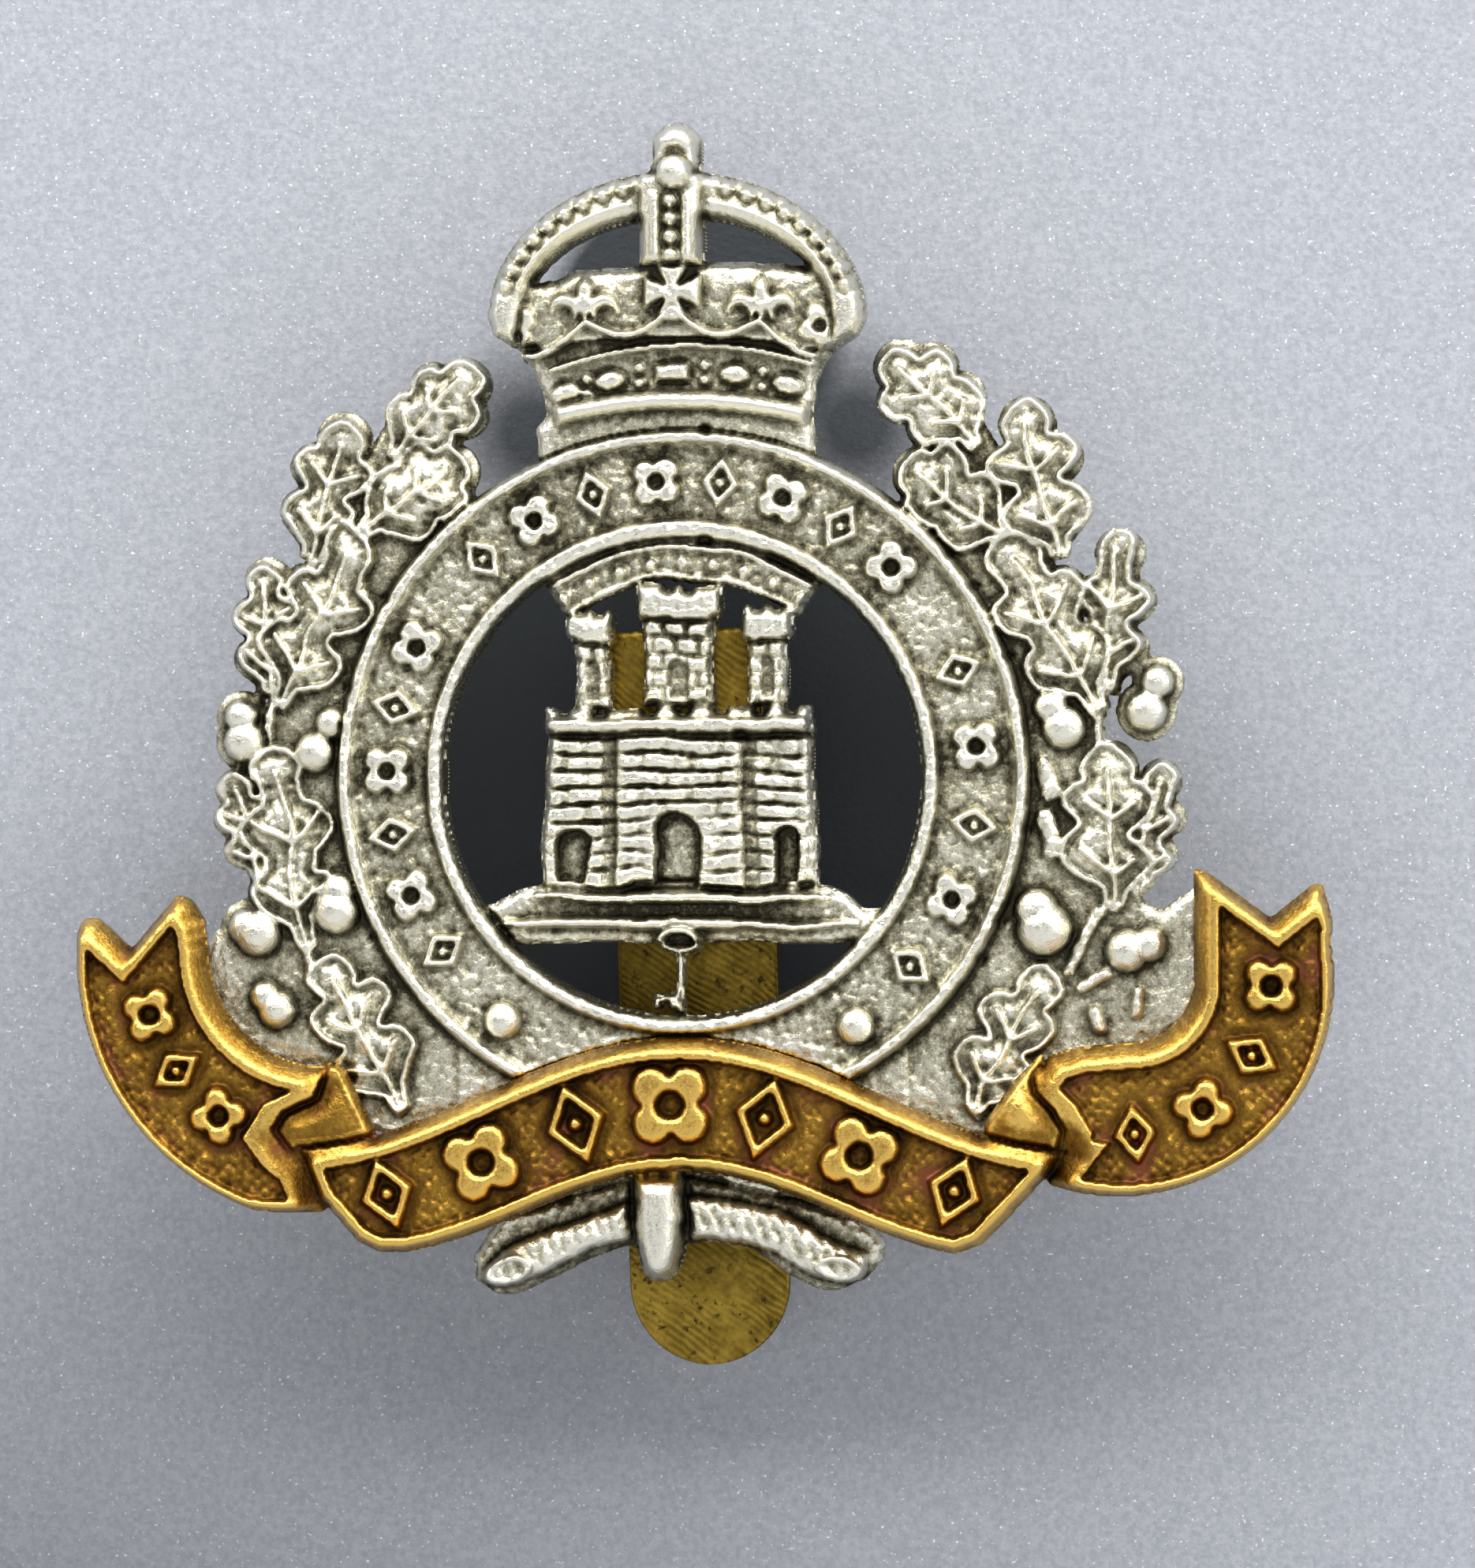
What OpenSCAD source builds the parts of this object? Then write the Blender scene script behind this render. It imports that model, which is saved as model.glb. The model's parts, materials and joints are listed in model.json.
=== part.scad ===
// Cap badge: a pressed white-metal badge with a brass scroll in front and a brass slider behind.
// It stands upright. X runs to the viewer's right, Z runs up to the crown, and the face looks
// along -Y. The origin is the centre of the circlet, on the flat back plane of the pressing.
// Flat outlines are drawn in X and Z, and plate() gives them their height in front of that plane.

/* [Circlet] */
// Outer radius of the circlet
circlet_r = 12.7; // [12.5:0.05:12.9]
// Radius of the opening inside the circlet
opening_r = 8.7; // [8.5:0.05:8.8]
// Width of each of the circlet's raised rims
rim_w = 0.45; // [0.35:0.05:0.55]
// Height of the ornaments along the circlet
circlet_motif = 2; // [1.6:0.1:2.2]

/* [Relief] */
// Thickness of the plain sheet behind the wreath
sheet_h = 0.9; // [0.8:0.05:1]
// Height of the circlet's field
field_h = 1.1; // [1:0.05:1.2]
// Height of the circlet's rims
rim_h = 1.6; // [1.5:0.05:1.7]
// Height of the leaves
leaf_h = 1.3; // [1.2:0.05:1.4]
// Height of the veins on the leaves
vein_h = 1.5; // [1.45:0.05:1.6]
// Height of the castle's plain walls
castle_h = 1.3; // [1.2:0.05:1.4]
// Height of the crown's ground
crown_h = 1.5; // [1.4:0.05:1.6]
// Height of the crown's arches
arch_h = 2.3; // [2.1:0.05:2.4]
// Height of the scroll's field
scroll_h = 2; // [1.9:0.05:2.1]
// Height of the scroll's border
border_h = 2.4; // [2.3:0.05:2.5]

/* [Castle] */
// Height of one course of stones
course = 0.6; // [0.5:0.01:0.62]
// Width of the joint between two stones
joint_w = 0.14; // [0.1:0.01:0.18]

/* [Crown] */
// Half width of the crown's outer arch
crown_a = 6.9; // [6.7:0.05:7]
// Height of the outer arch above the crown's widest line
crown_b = 5.35; // [5.2:0.05:5.4]
// Radius of the pearls on the arches
pearl_r = 0.3; // [0.2:0.01:0.32]

/* [Slider] */
// Width of the slider
slider_w = 5.9; // [5:0.1:6.5]
// Thickness of the slider's strip
slider_t = 0.55; // [0.4:0.05:0.7]
// Gap between the badge's back and the slider, which the cap's cloth fills
cap_gap = 2.2; // [1.8:0.1:2.8]
// Lean of the slider to the viewer's right, in degrees
slider_lean = 2.2; // [0:0.1:4]

/* [Hidden] */
$fn = 96;
far = 40;
detail = 10;
scroll_back = sheet_h;
slider_top = 5.4;
foot_bottom = -0.6;
bend_bottom = -2.6;
blade_clearance = 0.15;
slider_tip = -21.64;
blade_front = cap_gap;
blade_back = cap_gap + slider_t;

// Centres and sizes of the crown's curves
crown_c = [-0.2, 16.7];
arch_inner = [5.6, 3.65];
arch_pearl = [6.42, 4.9];
arch_ridge = [5.85, 4.2];
band_c = [0.3, 1.25];
jewel_r = 13.5;

// Each ribbon end: centre and radius of its outer edge and of its inner edge
left_c = [-12.3, -6.5];
left_r = 9.9;
left_inner_c = [-13, -6.2];
left_inner_r = 4.4;
right_c = [15.85, -7.35];
right_r = 7.85;
right_inner_c = [16.2, -7.2];
right_inner_r = 2.45;

// Half width and height of the middle ribbon's waves, along its top and bottom edges
top_wave = [14.5, 4.15, -9.45];
bottom_wave = [11.5, 3.1, -14.35];

// Leaves, each as [foot of the stem end, tip, width]; a later leaf lies over the ones before it
left_leaves = [
    [[-15.2, 2.9], [-15.3, 7.7], 2.0],
    [[-15.5, -3.6], [-16.6, -0.1], 1.6],
    [[-10.6, 11.7], [-7.6, 14.8], 2.6],
    [[-13.7, 7.9], [-12.3, 13.0], 2.6],
    [[-11.4, 9.0], [-8.0, 11.6], 2.9],
    [[-14.8, 2.5], [-11.9, 8.9], 3.1],
    [[-13.9, -6.3], [-15.1, 1.0], 3.0],
    [[-10.4, -12.0], [-13.3, -6.6], 2.9]
];
right_leaves = [
    [[15.4, 3.0], [16.0, 8.7], 2.3],
    [[16.6, -4.0], [17.5, 0.3], 1.7],
    [[10.7, 12.2], [7.5, 15.4], 2.8],
    [[13.7, 7.9], [12.4, 13.5], 2.8],
    [[11.8, 8.9], [8.1, 11.4], 2.9],
    [[15.2, 2.3], [11.7, 8.6], 3.2],
    [[15.6, -4.6], [15.5, 1.0], 3.0],
    [[10.5, -12.1], [13.3, -7.1], 2.8]
];
// Twigs and buds between the leaves, each as [start, end, width]
left_twigs = [
    [[-15.3, 1.4], [-15.1, 3.0], 0.4],
    [[-14.6, -3.9], [-13.7, -7.0], 0.35],
    [[-11.9, 7.3], [-11.6, 6.3], 0.5]
];
right_twigs = [
    [[14.1, -7.0], [15.2, -4.9], 0.5],
    [[14.6, -7.6], [16.1, -6.8], 0.4],
    [[13.2, 0.4], [13.5, -0.7], 0.7],
    [[13.3, -1.6], [13.5, -2.6], 0.8],
    [[15.0, -8.5], [15.1, -9.0], 0.5],
    [[16.6, -7.9], [16.4, -8.7], 0.5],
    [[15.2, 1.3], [15.2, 2.6], 0.4]
];
// Outline of the plain sheet outside the circlet, beside and below the leaves
left_sheet = [
    [-8, 10.6], [-9, 12.5], [-10.8, 13.2], [-13, 9.5], [-14.6, 4.5], [-15.6, 0],
    [-15.2, -3.2], [-15.9, -4.7], [-17.3, -5.7], [-18.2, -7.8], [-17.2, -10.5],
    [-14, -12.3], [-12.2, -13], [-8.2, -13.6], [-8.2, -8]
];
right_sheet = [
    [8.2, -8], [8.2, -13.6], [12.2, -13], [14, -12.3], [18, -10.5], [19.4, -8],
    [19.2, -4.4], [18.75, -3.9], [17.4, -4.85], [16.8, -4.5], [16.2, -3.2], [15.6, 0],
    [14.6, 4.5], [13, 9.5], [10.8, 13.2], [9, 12.5], [8, 10.6]
];
// Acorns, each as [middle of the cup, tip of the nut, width]
left_acorns = [
    [[-16.1, 1.3], [-16.3, 2.8], 1.5],
    [[-13.5, 0.9], [-12.6, 2.5], 1.5],
    [[-12.7, -4.9], [-12.6, -3.5], 1.7],
    [[-15.6, -5.7], [-16.6, -5.2], 1.7],
    [[-14.9, -8.5], [-15.7, -7.6], 1.4]
];
right_acorns = [
    [[16.9, 2.4], [17.5, 4.0], 1.5],
    [[13.9, 1.8], [13.1, 3.1], 1.6],
    [[13.2, -5.5], [12.6, -4.1], 2.0],
    [[16.2, -6.3], [17.6, -5.9], 1.6]
];

// ---- Shared helpers ----

white_metal = [0.72, 0.71, 0.66];
brass = [0.78, 0.58, 0.24];
slider_brass = [0.52, 0.43, 0.2];
solder_grey = [0.55, 0.55, 0.53];

// A solid from one height to another in front of the back plane, from an outline in X and Z
module plate(low, high) {
    rotate([90, 0, 0])
        translate([0, 0, low])
            linear_extrude(high - low)
                children();
}

// Keeps only what stands in front of one height
module in_front_of(level) {
    intersection() {
        children();
        translate([-far, -far - level, -far])
            cube([2 * far, far, 2 * far]);
    }
}

// Clears the room that the brass scroll takes in front of the white-metal sheet
module clear_of_scroll() {
    difference() {
        children();
        plate(scroll_back, detail) scroll_outline();
    }
}

// Turns and moves a shape so that it runs from one point towards another
module from_to(start, end) {
    run = end - start;
    translate(start)
        rotate(atan2(run[1], run[0]) - 90)
            children();
}

function arc(c, r, from, to, steps) =
    [for (i = [0:steps]) c + r * [cos(from + (to - from) * i / steps),
                                  sin(from + (to - from) * i / steps)]];

function oval(c, size, from, to, steps) =
    [for (i = [0:steps]) c + [size[0] * cos(from + (to - from) * i / steps),
                              size[1] * sin(from + (to - from) * i / steps)]];

function reversed(points) = [for (i = [len(points) - 1:-1:0]) points[i]];

module ring_sector(c, inner, outer, from, to) {
    polygon(concat(arc(c, outer, from, to, 24), arc(c, inner, to, from, 24)));
}

// A lozenge with a sunk ring around its centre stud
module lozenge(height, width, stroke) {
    half = [width / 2, height / 2];
    inner = half * (1 - 2 * stroke / width);
    difference() {
        polygon([[half[0], 0], [0, half[1]], [-half[0], 0], [0, -half[1]]]);
        polygon([[inner[0], 0], [0, inner[1]], [-inner[0], 0], [0, -inner[1]]]);
    }
    circle(r = stroke * 0.55);
}

// Four round petals about an open centre
module quatrefoil(size) {
    difference() {
        for (turn = [0:90:270])
            rotate(turn) translate([size * 0.27, 0]) circle(r = size * 0.23);
        circle(r = size * 0.13);
    }
}

// The ornaments alternate, starting with a lozenge
module ornament(index, height, stroke) {
    if (index % 2 == 0)
        lozenge(height, height * 0.72, stroke);
    else
        rotate(45) quatrefoil(height);
}

// ---- Circlet ----

module circlet() {
    shoulder = rim_w * 1.6;
    color(white_metal) clear_of_scroll() rotate([90, 0, 0])
        rotate_extrude($fn = 180)
            polygon([
                [opening_r, 0], [circlet_r, 0],
                [circlet_r, sheet_h], [circlet_r - 0.15, rim_h],
                [circlet_r - rim_w, rim_h], [circlet_r - rim_w - 0.1, field_h + 0.2],
                [circlet_r - shoulder, field_h + 0.15], [circlet_r - shoulder, field_h],
                [opening_r + shoulder, field_h], [opening_r + rim_w + 0.15, rim_h],
                [opening_r + 0.1, rim_h], [opening_r, rim_h - 0.4]
            ]);
}

// Three groups of ornaments, each as [first angle, last angle, number]
circlet_groups = [[216, 154, 6], [132.5, 45, 8], [21, -39.5, 5]];

module circlet_ornaments() {
    middle = (circlet_r + opening_r) / 2 + 0.1;
    color(white_metal) plate(field_h, rim_h)
        for (group = circlet_groups, i = [0:group[2] - 1])
            rotate(group[0] + (group[1] - group[0]) * i / (group[2] - 1))
                translate([middle, 0]) rotate(-90)
                    ornament(i, circlet_motif, 0.34);
}

module circlet_pellets() {
    color(white_metal) in_front_of(field_h)
        for (angle = [233.5, 305])
            rotate([0, -angle, 0]) translate([11.05, -field_h, 0]) sphere(r = 0.7);
}

// ---- Castle ----

castle_left = -5.05;
castle_right = 4.75;
wall_top = 1.6;
wall_bottom = -3.96;
bay_left = -2.4;
bay_right = 2.3;
bay_step = 0.25;

// An opening with a round head: foot in the middle of its bottom edge
module arched(width, height) {
    translate([-width / 2, 0]) square([width, height - width / 2]);
    translate([0, height - width / 2]) circle(r = width / 2);
}

// Rows of stones between two edges; every other row is shifted by half a stone
module stones(left, right, bottom, top, length) {
    rows = floor((top - bottom) / course);
    for (row = [0:rows - 1]) {
        z = top - (row + 1) * course;
        shift = row % 2 == 0 ? 0 : length / 2;
        for (start = [left - shift:length:right - joint_w]) {
            from = max(start, left);
            to = min(start + length - joint_w, right);
            if (to > from + joint_w)
                translate([from, z]) square([to - from, course - joint_w]);
        }
    }
}

module castle_openings() {
    translate([-0.18, wall_bottom]) arched(1.6, 2.6);
    translate([-3.9, wall_bottom + 0.1]) arched(0.95, 2);
    translate([3.85, wall_bottom + 0.1]) arched(0.85, 2);
}

module castle_wall() {
    stone_h = 0.2;
    color(white_metal) {
        difference() {
            union() {
                plate(0, castle_h) polygon([
                    [castle_left, wall_bottom], [castle_right + 0.3, wall_bottom],
                    [castle_right - 0.1, wall_top], [castle_left, wall_top]
                ]);
                plate(0, castle_h + bay_step) translate([bay_left, wall_bottom])
                    square([bay_right - bay_left, wall_top - wall_bottom]);
                plate(castle_h, castle_h + stone_h) {
                    stones(castle_left + 0.1, -2.85, wall_bottom, 1.5, 1.5);
                    stones(2.75, castle_right - 0.1, wall_bottom, 1.5, 1.5);
                }
                plate(castle_h + bay_step, castle_h + bay_step + stone_h)
                    stones(bay_left + 0.05, bay_right - 0.1, wall_bottom, 1.5, 1.9);
            }
            plate(castle_h - 0.45, detail) castle_openings();
        }
    }
}

module castle_battlement() {
    cope_bottom = 1.6;
    cope_top = 2.1;
    merlon_top = 2.55;
    color(white_metal) {
        plate(0, castle_h + 0.5) translate([castle_left - 0.1, cope_bottom])
            square([castle_right - castle_left + 0.15, cope_top - cope_bottom]);
        plate(0, castle_h + 0.2) difference() {
            translate([castle_left - 0.05, cope_top])
                square([castle_right - castle_left + 0.05, merlon_top - cope_top]);
            for (gap = [-4.4, -3.0, -1.25, 0, 1.4, 2.85, 4.0])
                translate([gap, merlon_top]) circle(r = 0.26);
        }
    }
}

// A tower between two edges, with courses, a moulded head and a window
module tower(left, right, top, head_bottom, window_w) {
    foot = 2.55;
    step = 0.2;
    middle = (left + right) / 2;
    color(white_metal) difference() {
        union() {
            plate(0, castle_h) translate([left + step, foot])
                square([right - left - 2 * step, head_bottom - foot]);
            plate(castle_h, castle_h + step)
                stones(left + step, right - step, foot, head_bottom, 0.85);
            plate(0, castle_h + 2 * step) difference() {
                translate([left, head_bottom]) square([right - left, top - head_bottom]);
                for (gap = [middle - 0.35, middle + 0.35])
                    translate([gap, top]) circle(r = 0.2);
            }
        }
        plate(castle_h - 0.45, detail) translate([middle, foot + 0.3])
            arched(window_w, 1.5);
    }
}

module castle_tower_left() {
    difference() {
        tower(-4.2, -2.4, 6.1, 4.9, 0.5);
        plate(-detail, detail) label_outline();
    }
}

module castle_tower_centre() {
    tower(-1.65, 1.4, 6.95, 5.8, 0.7);
}

module castle_tower_right() {
    difference() {
        tower(2.2, 4.0, 6.2, 5.0, 0.45);
        plate(-detail, detail) label_outline();
    }
}

module rock_outline() {
    intersection() {
        circle(r = opening_r);
        polygon([
            [-8.6, -4.75], [-7, -4.75], [-6, -4.15], [-5.2, wall_bottom],
            [5.3, wall_bottom], [6, -4.25], [6.6, -4.75], [8.6, -4.75],
            [8.6, -6.05], [-8.6, -6.05]
        ]);
    }
}

// A long roll that tapers to a point at both ends
module spindle(left, right, z, height) {
    middle = (left + right) / 2;
    polygon(oval([middle, z], [(right - left) / 2, height / 2], 0, 345, 23));
}

module castle_rock() {
    roll_h = castle_h + 0.4;
    color(white_metal) difference() {
        union() {
            plate(0, castle_h - 0.1) rock_outline();
            plate(castle_h - 0.1, roll_h) {
                spindle(-5.6, 5.6, -4.4, 0.42);
                spindle(-6.9, 6.4, -5.35, 0.45);
            }
        }
        plate(castle_h - 0.1, detail) translate([-0.06, -6]) key_bow_outline();
    }
}

module label_outline() {
    intersection() {
        circle(r = opening_r);
        difference() {
            ring_sector([0, 0], 7.1, 9.2, 54, 126);
            for (side = [-1, 1])
                translate([side * 5.6, 5.2]) rotate(side * -38)
                    translate([side * 0.6, 0]) square([1.2, 3], center = true);
            plate_tower_head();
        }
    }
}

// The head of the middle tower stands in front of the label's lower edge
module plate_tower_head() {
    translate([-1.65, 5.8]) square([3.05, 6.95 - 5.8]);
}

module castle_label() {
    color(white_metal) {
        plate(0, field_h) label_outline();
        plate(field_h, field_h + 0.25) intersection() {
            label_outline();
            union() {
                ring_sector([0, 0], 7.1, 7.35, 55, 125);
                ring_sector([0, 0], 8.25, 8.45, 55, 125);
            }
        }
    }
}

module label_ornaments() {
    count = 9;
    color(white_metal) plate(field_h, field_h + 0.25)
        for (i = [0:count - 1])
            rotate(124 - 68 * i / (count - 1))
                translate([7.8, 0]) rotate(-90)
                    if (i % 2 == 0)
                        polygon([[0.3, 0], [0, 0.33], [-0.3, 0], [0, -0.33]]);
                    else
                        circle(r = 0.24);
}

module key_bow_outline() {
    polygon(oval([0, 0], [0.79, 0.55], 0, 345, 23));
}

module key() {
    color(white_metal) {
        plate(castle_h - 0.1, castle_h + 0.25) translate([-0.06, -6]) difference() {
            key_bow_outline();
            polygon(oval([0, -0.02], [0.5, 0.3], 0, 345, 23));
        }
        plate(0.3, castle_h) translate([-0.06, 0]) difference() {
            union() {
                translate([-0.16, -8.72]) square([0.32, 2.67]);
                translate([-0.95, -8.55]) square([0.8, 0.7]);
            }
            translate([-0.62, -8.6]) square([0.2, 0.3]);
            translate([-0.8, -7.95]) square([0.2, 0.2]);
        }
        plate(0.3, castle_h - 0.1) translate([-0.06, -6]) intersection() {
            key_bow_outline();
            translate([-1, -1]) square([2, 0.95]);
        }
    }
}

// ---- Crown ----

arch_left_edge = -1.5;
arch_right_edge = 0.85;

// One side of the outer arch, between two angles of its oval, with its rounded lower corner
module arch_outline(side) {
    from = side > 0 ? 0 : 180;
    to = side > 0 ? 82 : 100;
    corner = side > 0 ? [[5.5, 15.5], [6.35, 16.05]] : [[-6.1, 15.6], [-6.9, 16.1]];
    difference() {
        polygon(concat(
            corner,
            oval(crown_c, [crown_a, crown_b], from, to, 20),
            oval(crown_c, arch_inner, to, from, 20)
        ));
        centre_arch_outline();
    }
}

module centre_arch_outline() {
    translate([arch_left_edge, 18.6])
        square([arch_right_edge - arch_left_edge, 3.4]);
}

// The thin raised edge along the inside of a side arch
module arch_ridge_outline(side) {
    from = side > 0 ? 12 : 168;
    to = side > 0 ? 78 : 106;
    polygon(concat(
        oval(crown_c, arch_ridge + [0.14, 0.14], from, to, 20),
        oval(crown_c, arch_ridge, to, from, 20)
    ));
}

module side_arch(side) {
    color(white_metal) {
        plate(0, arch_h - 0.25) arch_outline(side);
        plate(arch_h - 0.25, arch_h) arch_ridge_outline(side);
    }
}

module crown_arch_left() {
    side_arch(-1);
}

module crown_arch_right() {
    side_arch(1);
}

module crown_arch_centre() {
    rail = 0.3;
    color(white_metal) {
        plate(0, arch_h + 0.2) centre_arch_outline();
        plate(arch_h + 0.2, arch_h + 0.45) {
            translate([arch_left_edge + 0.45, 18.7]) square([rail, 2.5]);
            translate([arch_right_edge - 0.45 - rail, 18.7]) square([rail, 2.5]);
        }
    }
}

// Pearls follow both side arches and run down the middle arch
module crown_pearls() {
    count = 9;
    color(white_metal) {
        in_front_of(arch_h - 0.25)
            for (side = [-1, 1], i = [0:count - 1]) {
                angle = 90 - side * (17 + 59 * i / (count - 1));
                spot = crown_c + [arch_pearl[0] * cos(angle), arch_pearl[1] * sin(angle)];
                translate([spot[0], 0.25 - arch_h, spot[1]]) sphere(r = pearl_r, $fn = 24);
            }
        in_front_of(arch_h + 0.2)
            for (i = [0:3])
                translate([-0.33, -arch_h - 0.2, 18.95 + 0.66 * i])
                    sphere(r = pearl_r, $fn = 24);
    }
}

module cap_outline() {
    difference() {
        polygon([
            [-5.95, 15.6], [-5.9, 18], [-4.6, 18.1], [-4, 18.45], [-1.7, 18.6],
            [1, 18.75], [3.4, 18.7], [4.3, 18.6], [5.6, 18.5], [5.6, 15.5]
        ]);
        arch_outline(-1);
        arch_outline(1);
        centre_arch_outline();
        band_outline();
    }
}

module crown_cap() {
    color(white_metal) plate(0, crown_h) cap_outline();
}

// A lily flower: one upright petal between two that curl outwards
module fleur() {
    polygon([[0, -0.5], [0.33, 0.35], [0.28, 0.95], [0, 1.35], [-0.28, 0.95], [-0.33, 0.35]]);
    for (side = [-1, 1])
        difference() {
            translate([side * 0.72, 0.1]) circle(r = 0.55);
            translate([side * 0.82, -0.22]) circle(r = 0.38);
        }
}

module crown_fleurs() {
    color(white_metal) plate(crown_h, crown_h + 0.5) difference() {
        union() {
            translate([-3.5, 16.95]) fleur();
            translate([2.95, 16.95]) fleur();
            intersection() {
                translate([-6.1, 16.5]) rotate(20) quatrefoil(1.7);
                cap_outline();
            }
            intersection() {
                translate([5.1, 16.4]) rotate(20) quatrefoil(1.7);
                cap_outline();
            }
        }
        ridge_outline();
        arch_outline(-1);
        arch_outline(1);
    }
}

// A cross whose arms widen outwards, under the middle arch
module crown_cross_pattee() {
    arm = 1.05;
    color(white_metal) plate(crown_h, crown_h + 0.7) difference() {
        translate([-0.3, 17.65])
            for (turn = [0:90:270])
                rotate(turn) polygon([[0.14, 0], [0.62, arm], [-0.62, arm], [-0.14, 0]]);
        ridge_outline();
        centre_arch_outline();
    }
}

// Height of the scalloped ridge; p counts scallops from the middle peak
function ridge_z(p) = 17.2 - 0.5 * p * p - (0.92 - 0.17 * p * p) * abs(sin(180 * p));

module ridge_outline() {
    wire = 0.28;
    scallop = 3.2;
    path = [for (p = [-1.75:0.05:1.68]) [-0.3 + scallop * p, ridge_z(p)]];
    below = [for (spot = reversed(path)) spot - [0, wire]];
    polygon(concat(path, below));
}

module crown_ridge() {
    color(white_metal) plate(crown_h, crown_h + 0.75) difference() {
        ridge_outline();
        arch_outline(-1);
        arch_outline(1);
    }
}

module band_outline() {
    difference() {
        polygon([
            [-6.05, 15.6], [-5.5, 14.9], [-5.1, 14], [-4.95, 13.2], [-5.35, 12.7],
            [-5.2, 11], [4.9, 11], [4.8, 13.2], [4.85, 14.3], [5.2, 15.1], [5.55, 15.5],
            [4.6, 15.55], [2.9, 15.9], [-0.3, 16.05], [-3.5, 15.9], [-5.2, 15.55]
        ]);
        circle(r = circlet_r);
        foot_outline();
    }
}

module crown_band() {
    color(white_metal) {
        plate(0, crown_h - 0.2) band_outline();
        plate(crown_h - 0.2, crown_h + 0.3)
            ring_sector(band_c, 14.35, 14.55, 71.5, 111);
    }
}

// A jewel place on the band: the angle is measured about the band's centre of curvature
module on_band(x, rise) {
    angle = acos((x - band_c[0]) / (jewel_r + rise));
    translate(band_c + (jewel_r + rise) * [cos(angle), sin(angle)])
        rotate(angle - 90)
            children();
}

module crown_jewels() {
    color(white_metal) plate(crown_h - 0.2, crown_h + 0.25) difference() {
        union() {
            on_band(-0.35, 0) square([1.3, 0.7], center = true);
            for (x = [-4.25, -2.6, 1.95, 3.9])
                on_band(x, 0) polygon(oval([0, 0], [0.6, 0.4], 0, 345, 23));
            for (x = [-3.45, -1.55, 0.85, 2.95], rise = [-0.28, 0.28])
                on_band(x, rise) circle(r = 0.22);
        }
        foot_outline();
    }
}

module foot_outline() {
    foot_c = [0, -4.7];
    ring_sector(foot_c, 18.0, 18.85, 75.2, 104.8);
}

module crown_foot() {
    color(white_metal) plate(0, crown_h + 0.5) foot_outline();
}

module orb_outline() {
    translate([-0.22, 22]) circle(r = 0.92);
}

module crown_orb() {
    color(white_metal) {
        plate(0, arch_h - 0.2) difference() {
            orb_outline();
            centre_arch_outline();
            arch_outline(-1);
            arch_outline(1);
        }
        difference() {
            in_front_of(arch_h + 0.2) translate([-0.2, -arch_h - 0.2, 21.95]) sphere(r = 0.62);
            plate(-detail, detail) cross_outline();
        }
    }
}

module cross_outline() {
    difference() {
        translate([-1.05, 22.2]) square([1.75, 1.15]);
        orb_outline();
    }
    difference() {
        translate([-0.17, 22.95]) circle(r = 0.86);
        translate([-1.2, 20]) square([2, 2.85]);
    }
}

module crown_cross() {
    color(white_metal) {
        plate(0, arch_h - 0.2) difference() {
            cross_outline();
            orb_outline();
        }
        plate(arch_h - 0.2, arch_h + 0.2) translate([-0.17, 23.0]) intersection() {
            for (turn = [0:90:270])
                rotate(turn) polygon([[0.12, 0], [0.5, 0.75], [-0.5, 0.75], [-0.12, 0]]);
            translate([-1, 0.0]) square([2, 1.4]);
        }
    }
}

// ---- Wreath ----

// A lobed oak leaf, drawn from its foot at [0, 0] to its tip at [0, length].
// grow widens every part of it, for the plain sheet that shows around the leaf.
module leaf_outline(length, width, grow) {
    lobe = width * 0.2 + grow;
    tip = width * 0.25 + grow;
    translate([0, length - tip + grow]) circle(r = tip);
    polygon([
        [-0.12 - grow, 0], [0.12 + grow, 0],
        [width * 0.24 + grow, length * 0.45], [width * 0.19 + grow, length * 0.85],
        [-width * 0.19 - grow, length * 0.85], [-width * 0.24 - grow, length * 0.45]
    ]);
    for (side = [-1, 1], rise = [0.31, 0.62]) {
        reach = width * (rise < 0.5 ? 0.28 : 0.3);
        translate([0, length * (rise - 0.1)]) rotate(side * -52)
            translate([-lobe, 0]) square([2 * lobe, reach / sin(52)]);
        translate([0, length * (rise - 0.1)]) rotate(side * -52)
            translate([0, reach / sin(52)]) circle(r = lobe);
    }
}

module leaf_veins(length) {
    wire = 0.16;
    translate([-wire / 2, 0]) square([wire, length * 0.88]);
    for (side = [-1, 1], rise = [0.2, 0.52])
        translate([0, length * rise]) rotate(side * -52)
            translate([-wire / 2, 0]) square([wire, length * 0.22]);
}

module placed_leaf(leaf, grow) {
    from_to(leaf[0], leaf[1])
        leaf_outline(norm(leaf[1] - leaf[0]), leaf[2], grow);
}

// The acorn's flat outline: its cup and its nut
module placed_acorn(acorn, grow) {
    from_to(acorn[0], acorn[1]) {
        circle(r = acorn[2] / 2 + grow);
        translate([0, norm(acorn[1] - acorn[0]) - acorn[2] * 0.4])
            circle(r = acorn[2] * 0.4 + grow);
    }
}

// Each leaf is trimmed by the leaves and acorns that lie over it
module leaves(leaf_list, acorn_list) {
    last = len(leaf_list) - 1;
    color(white_metal) clear_of_scroll() for (i = [0:last]) {
        leaf = leaf_list[i];
        difference() {
            union() {
                plate(sheet_h, leaf_h) placed_leaf(leaf, 0);
                plate(leaf_h, vein_h) from_to(leaf[0], leaf[1])
                    leaf_veins(norm(leaf[1] - leaf[0]));
            }
            plate(-detail, detail) {
                if (i < last)
                    for (over = [i + 1:last])
                        placed_leaf(leaf_list[over], 0.06);
                for (acorn = acorn_list)
                    placed_acorn(acorn, 0.06);
                circle(r = circlet_r);
            }
        }
    }
}

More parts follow.
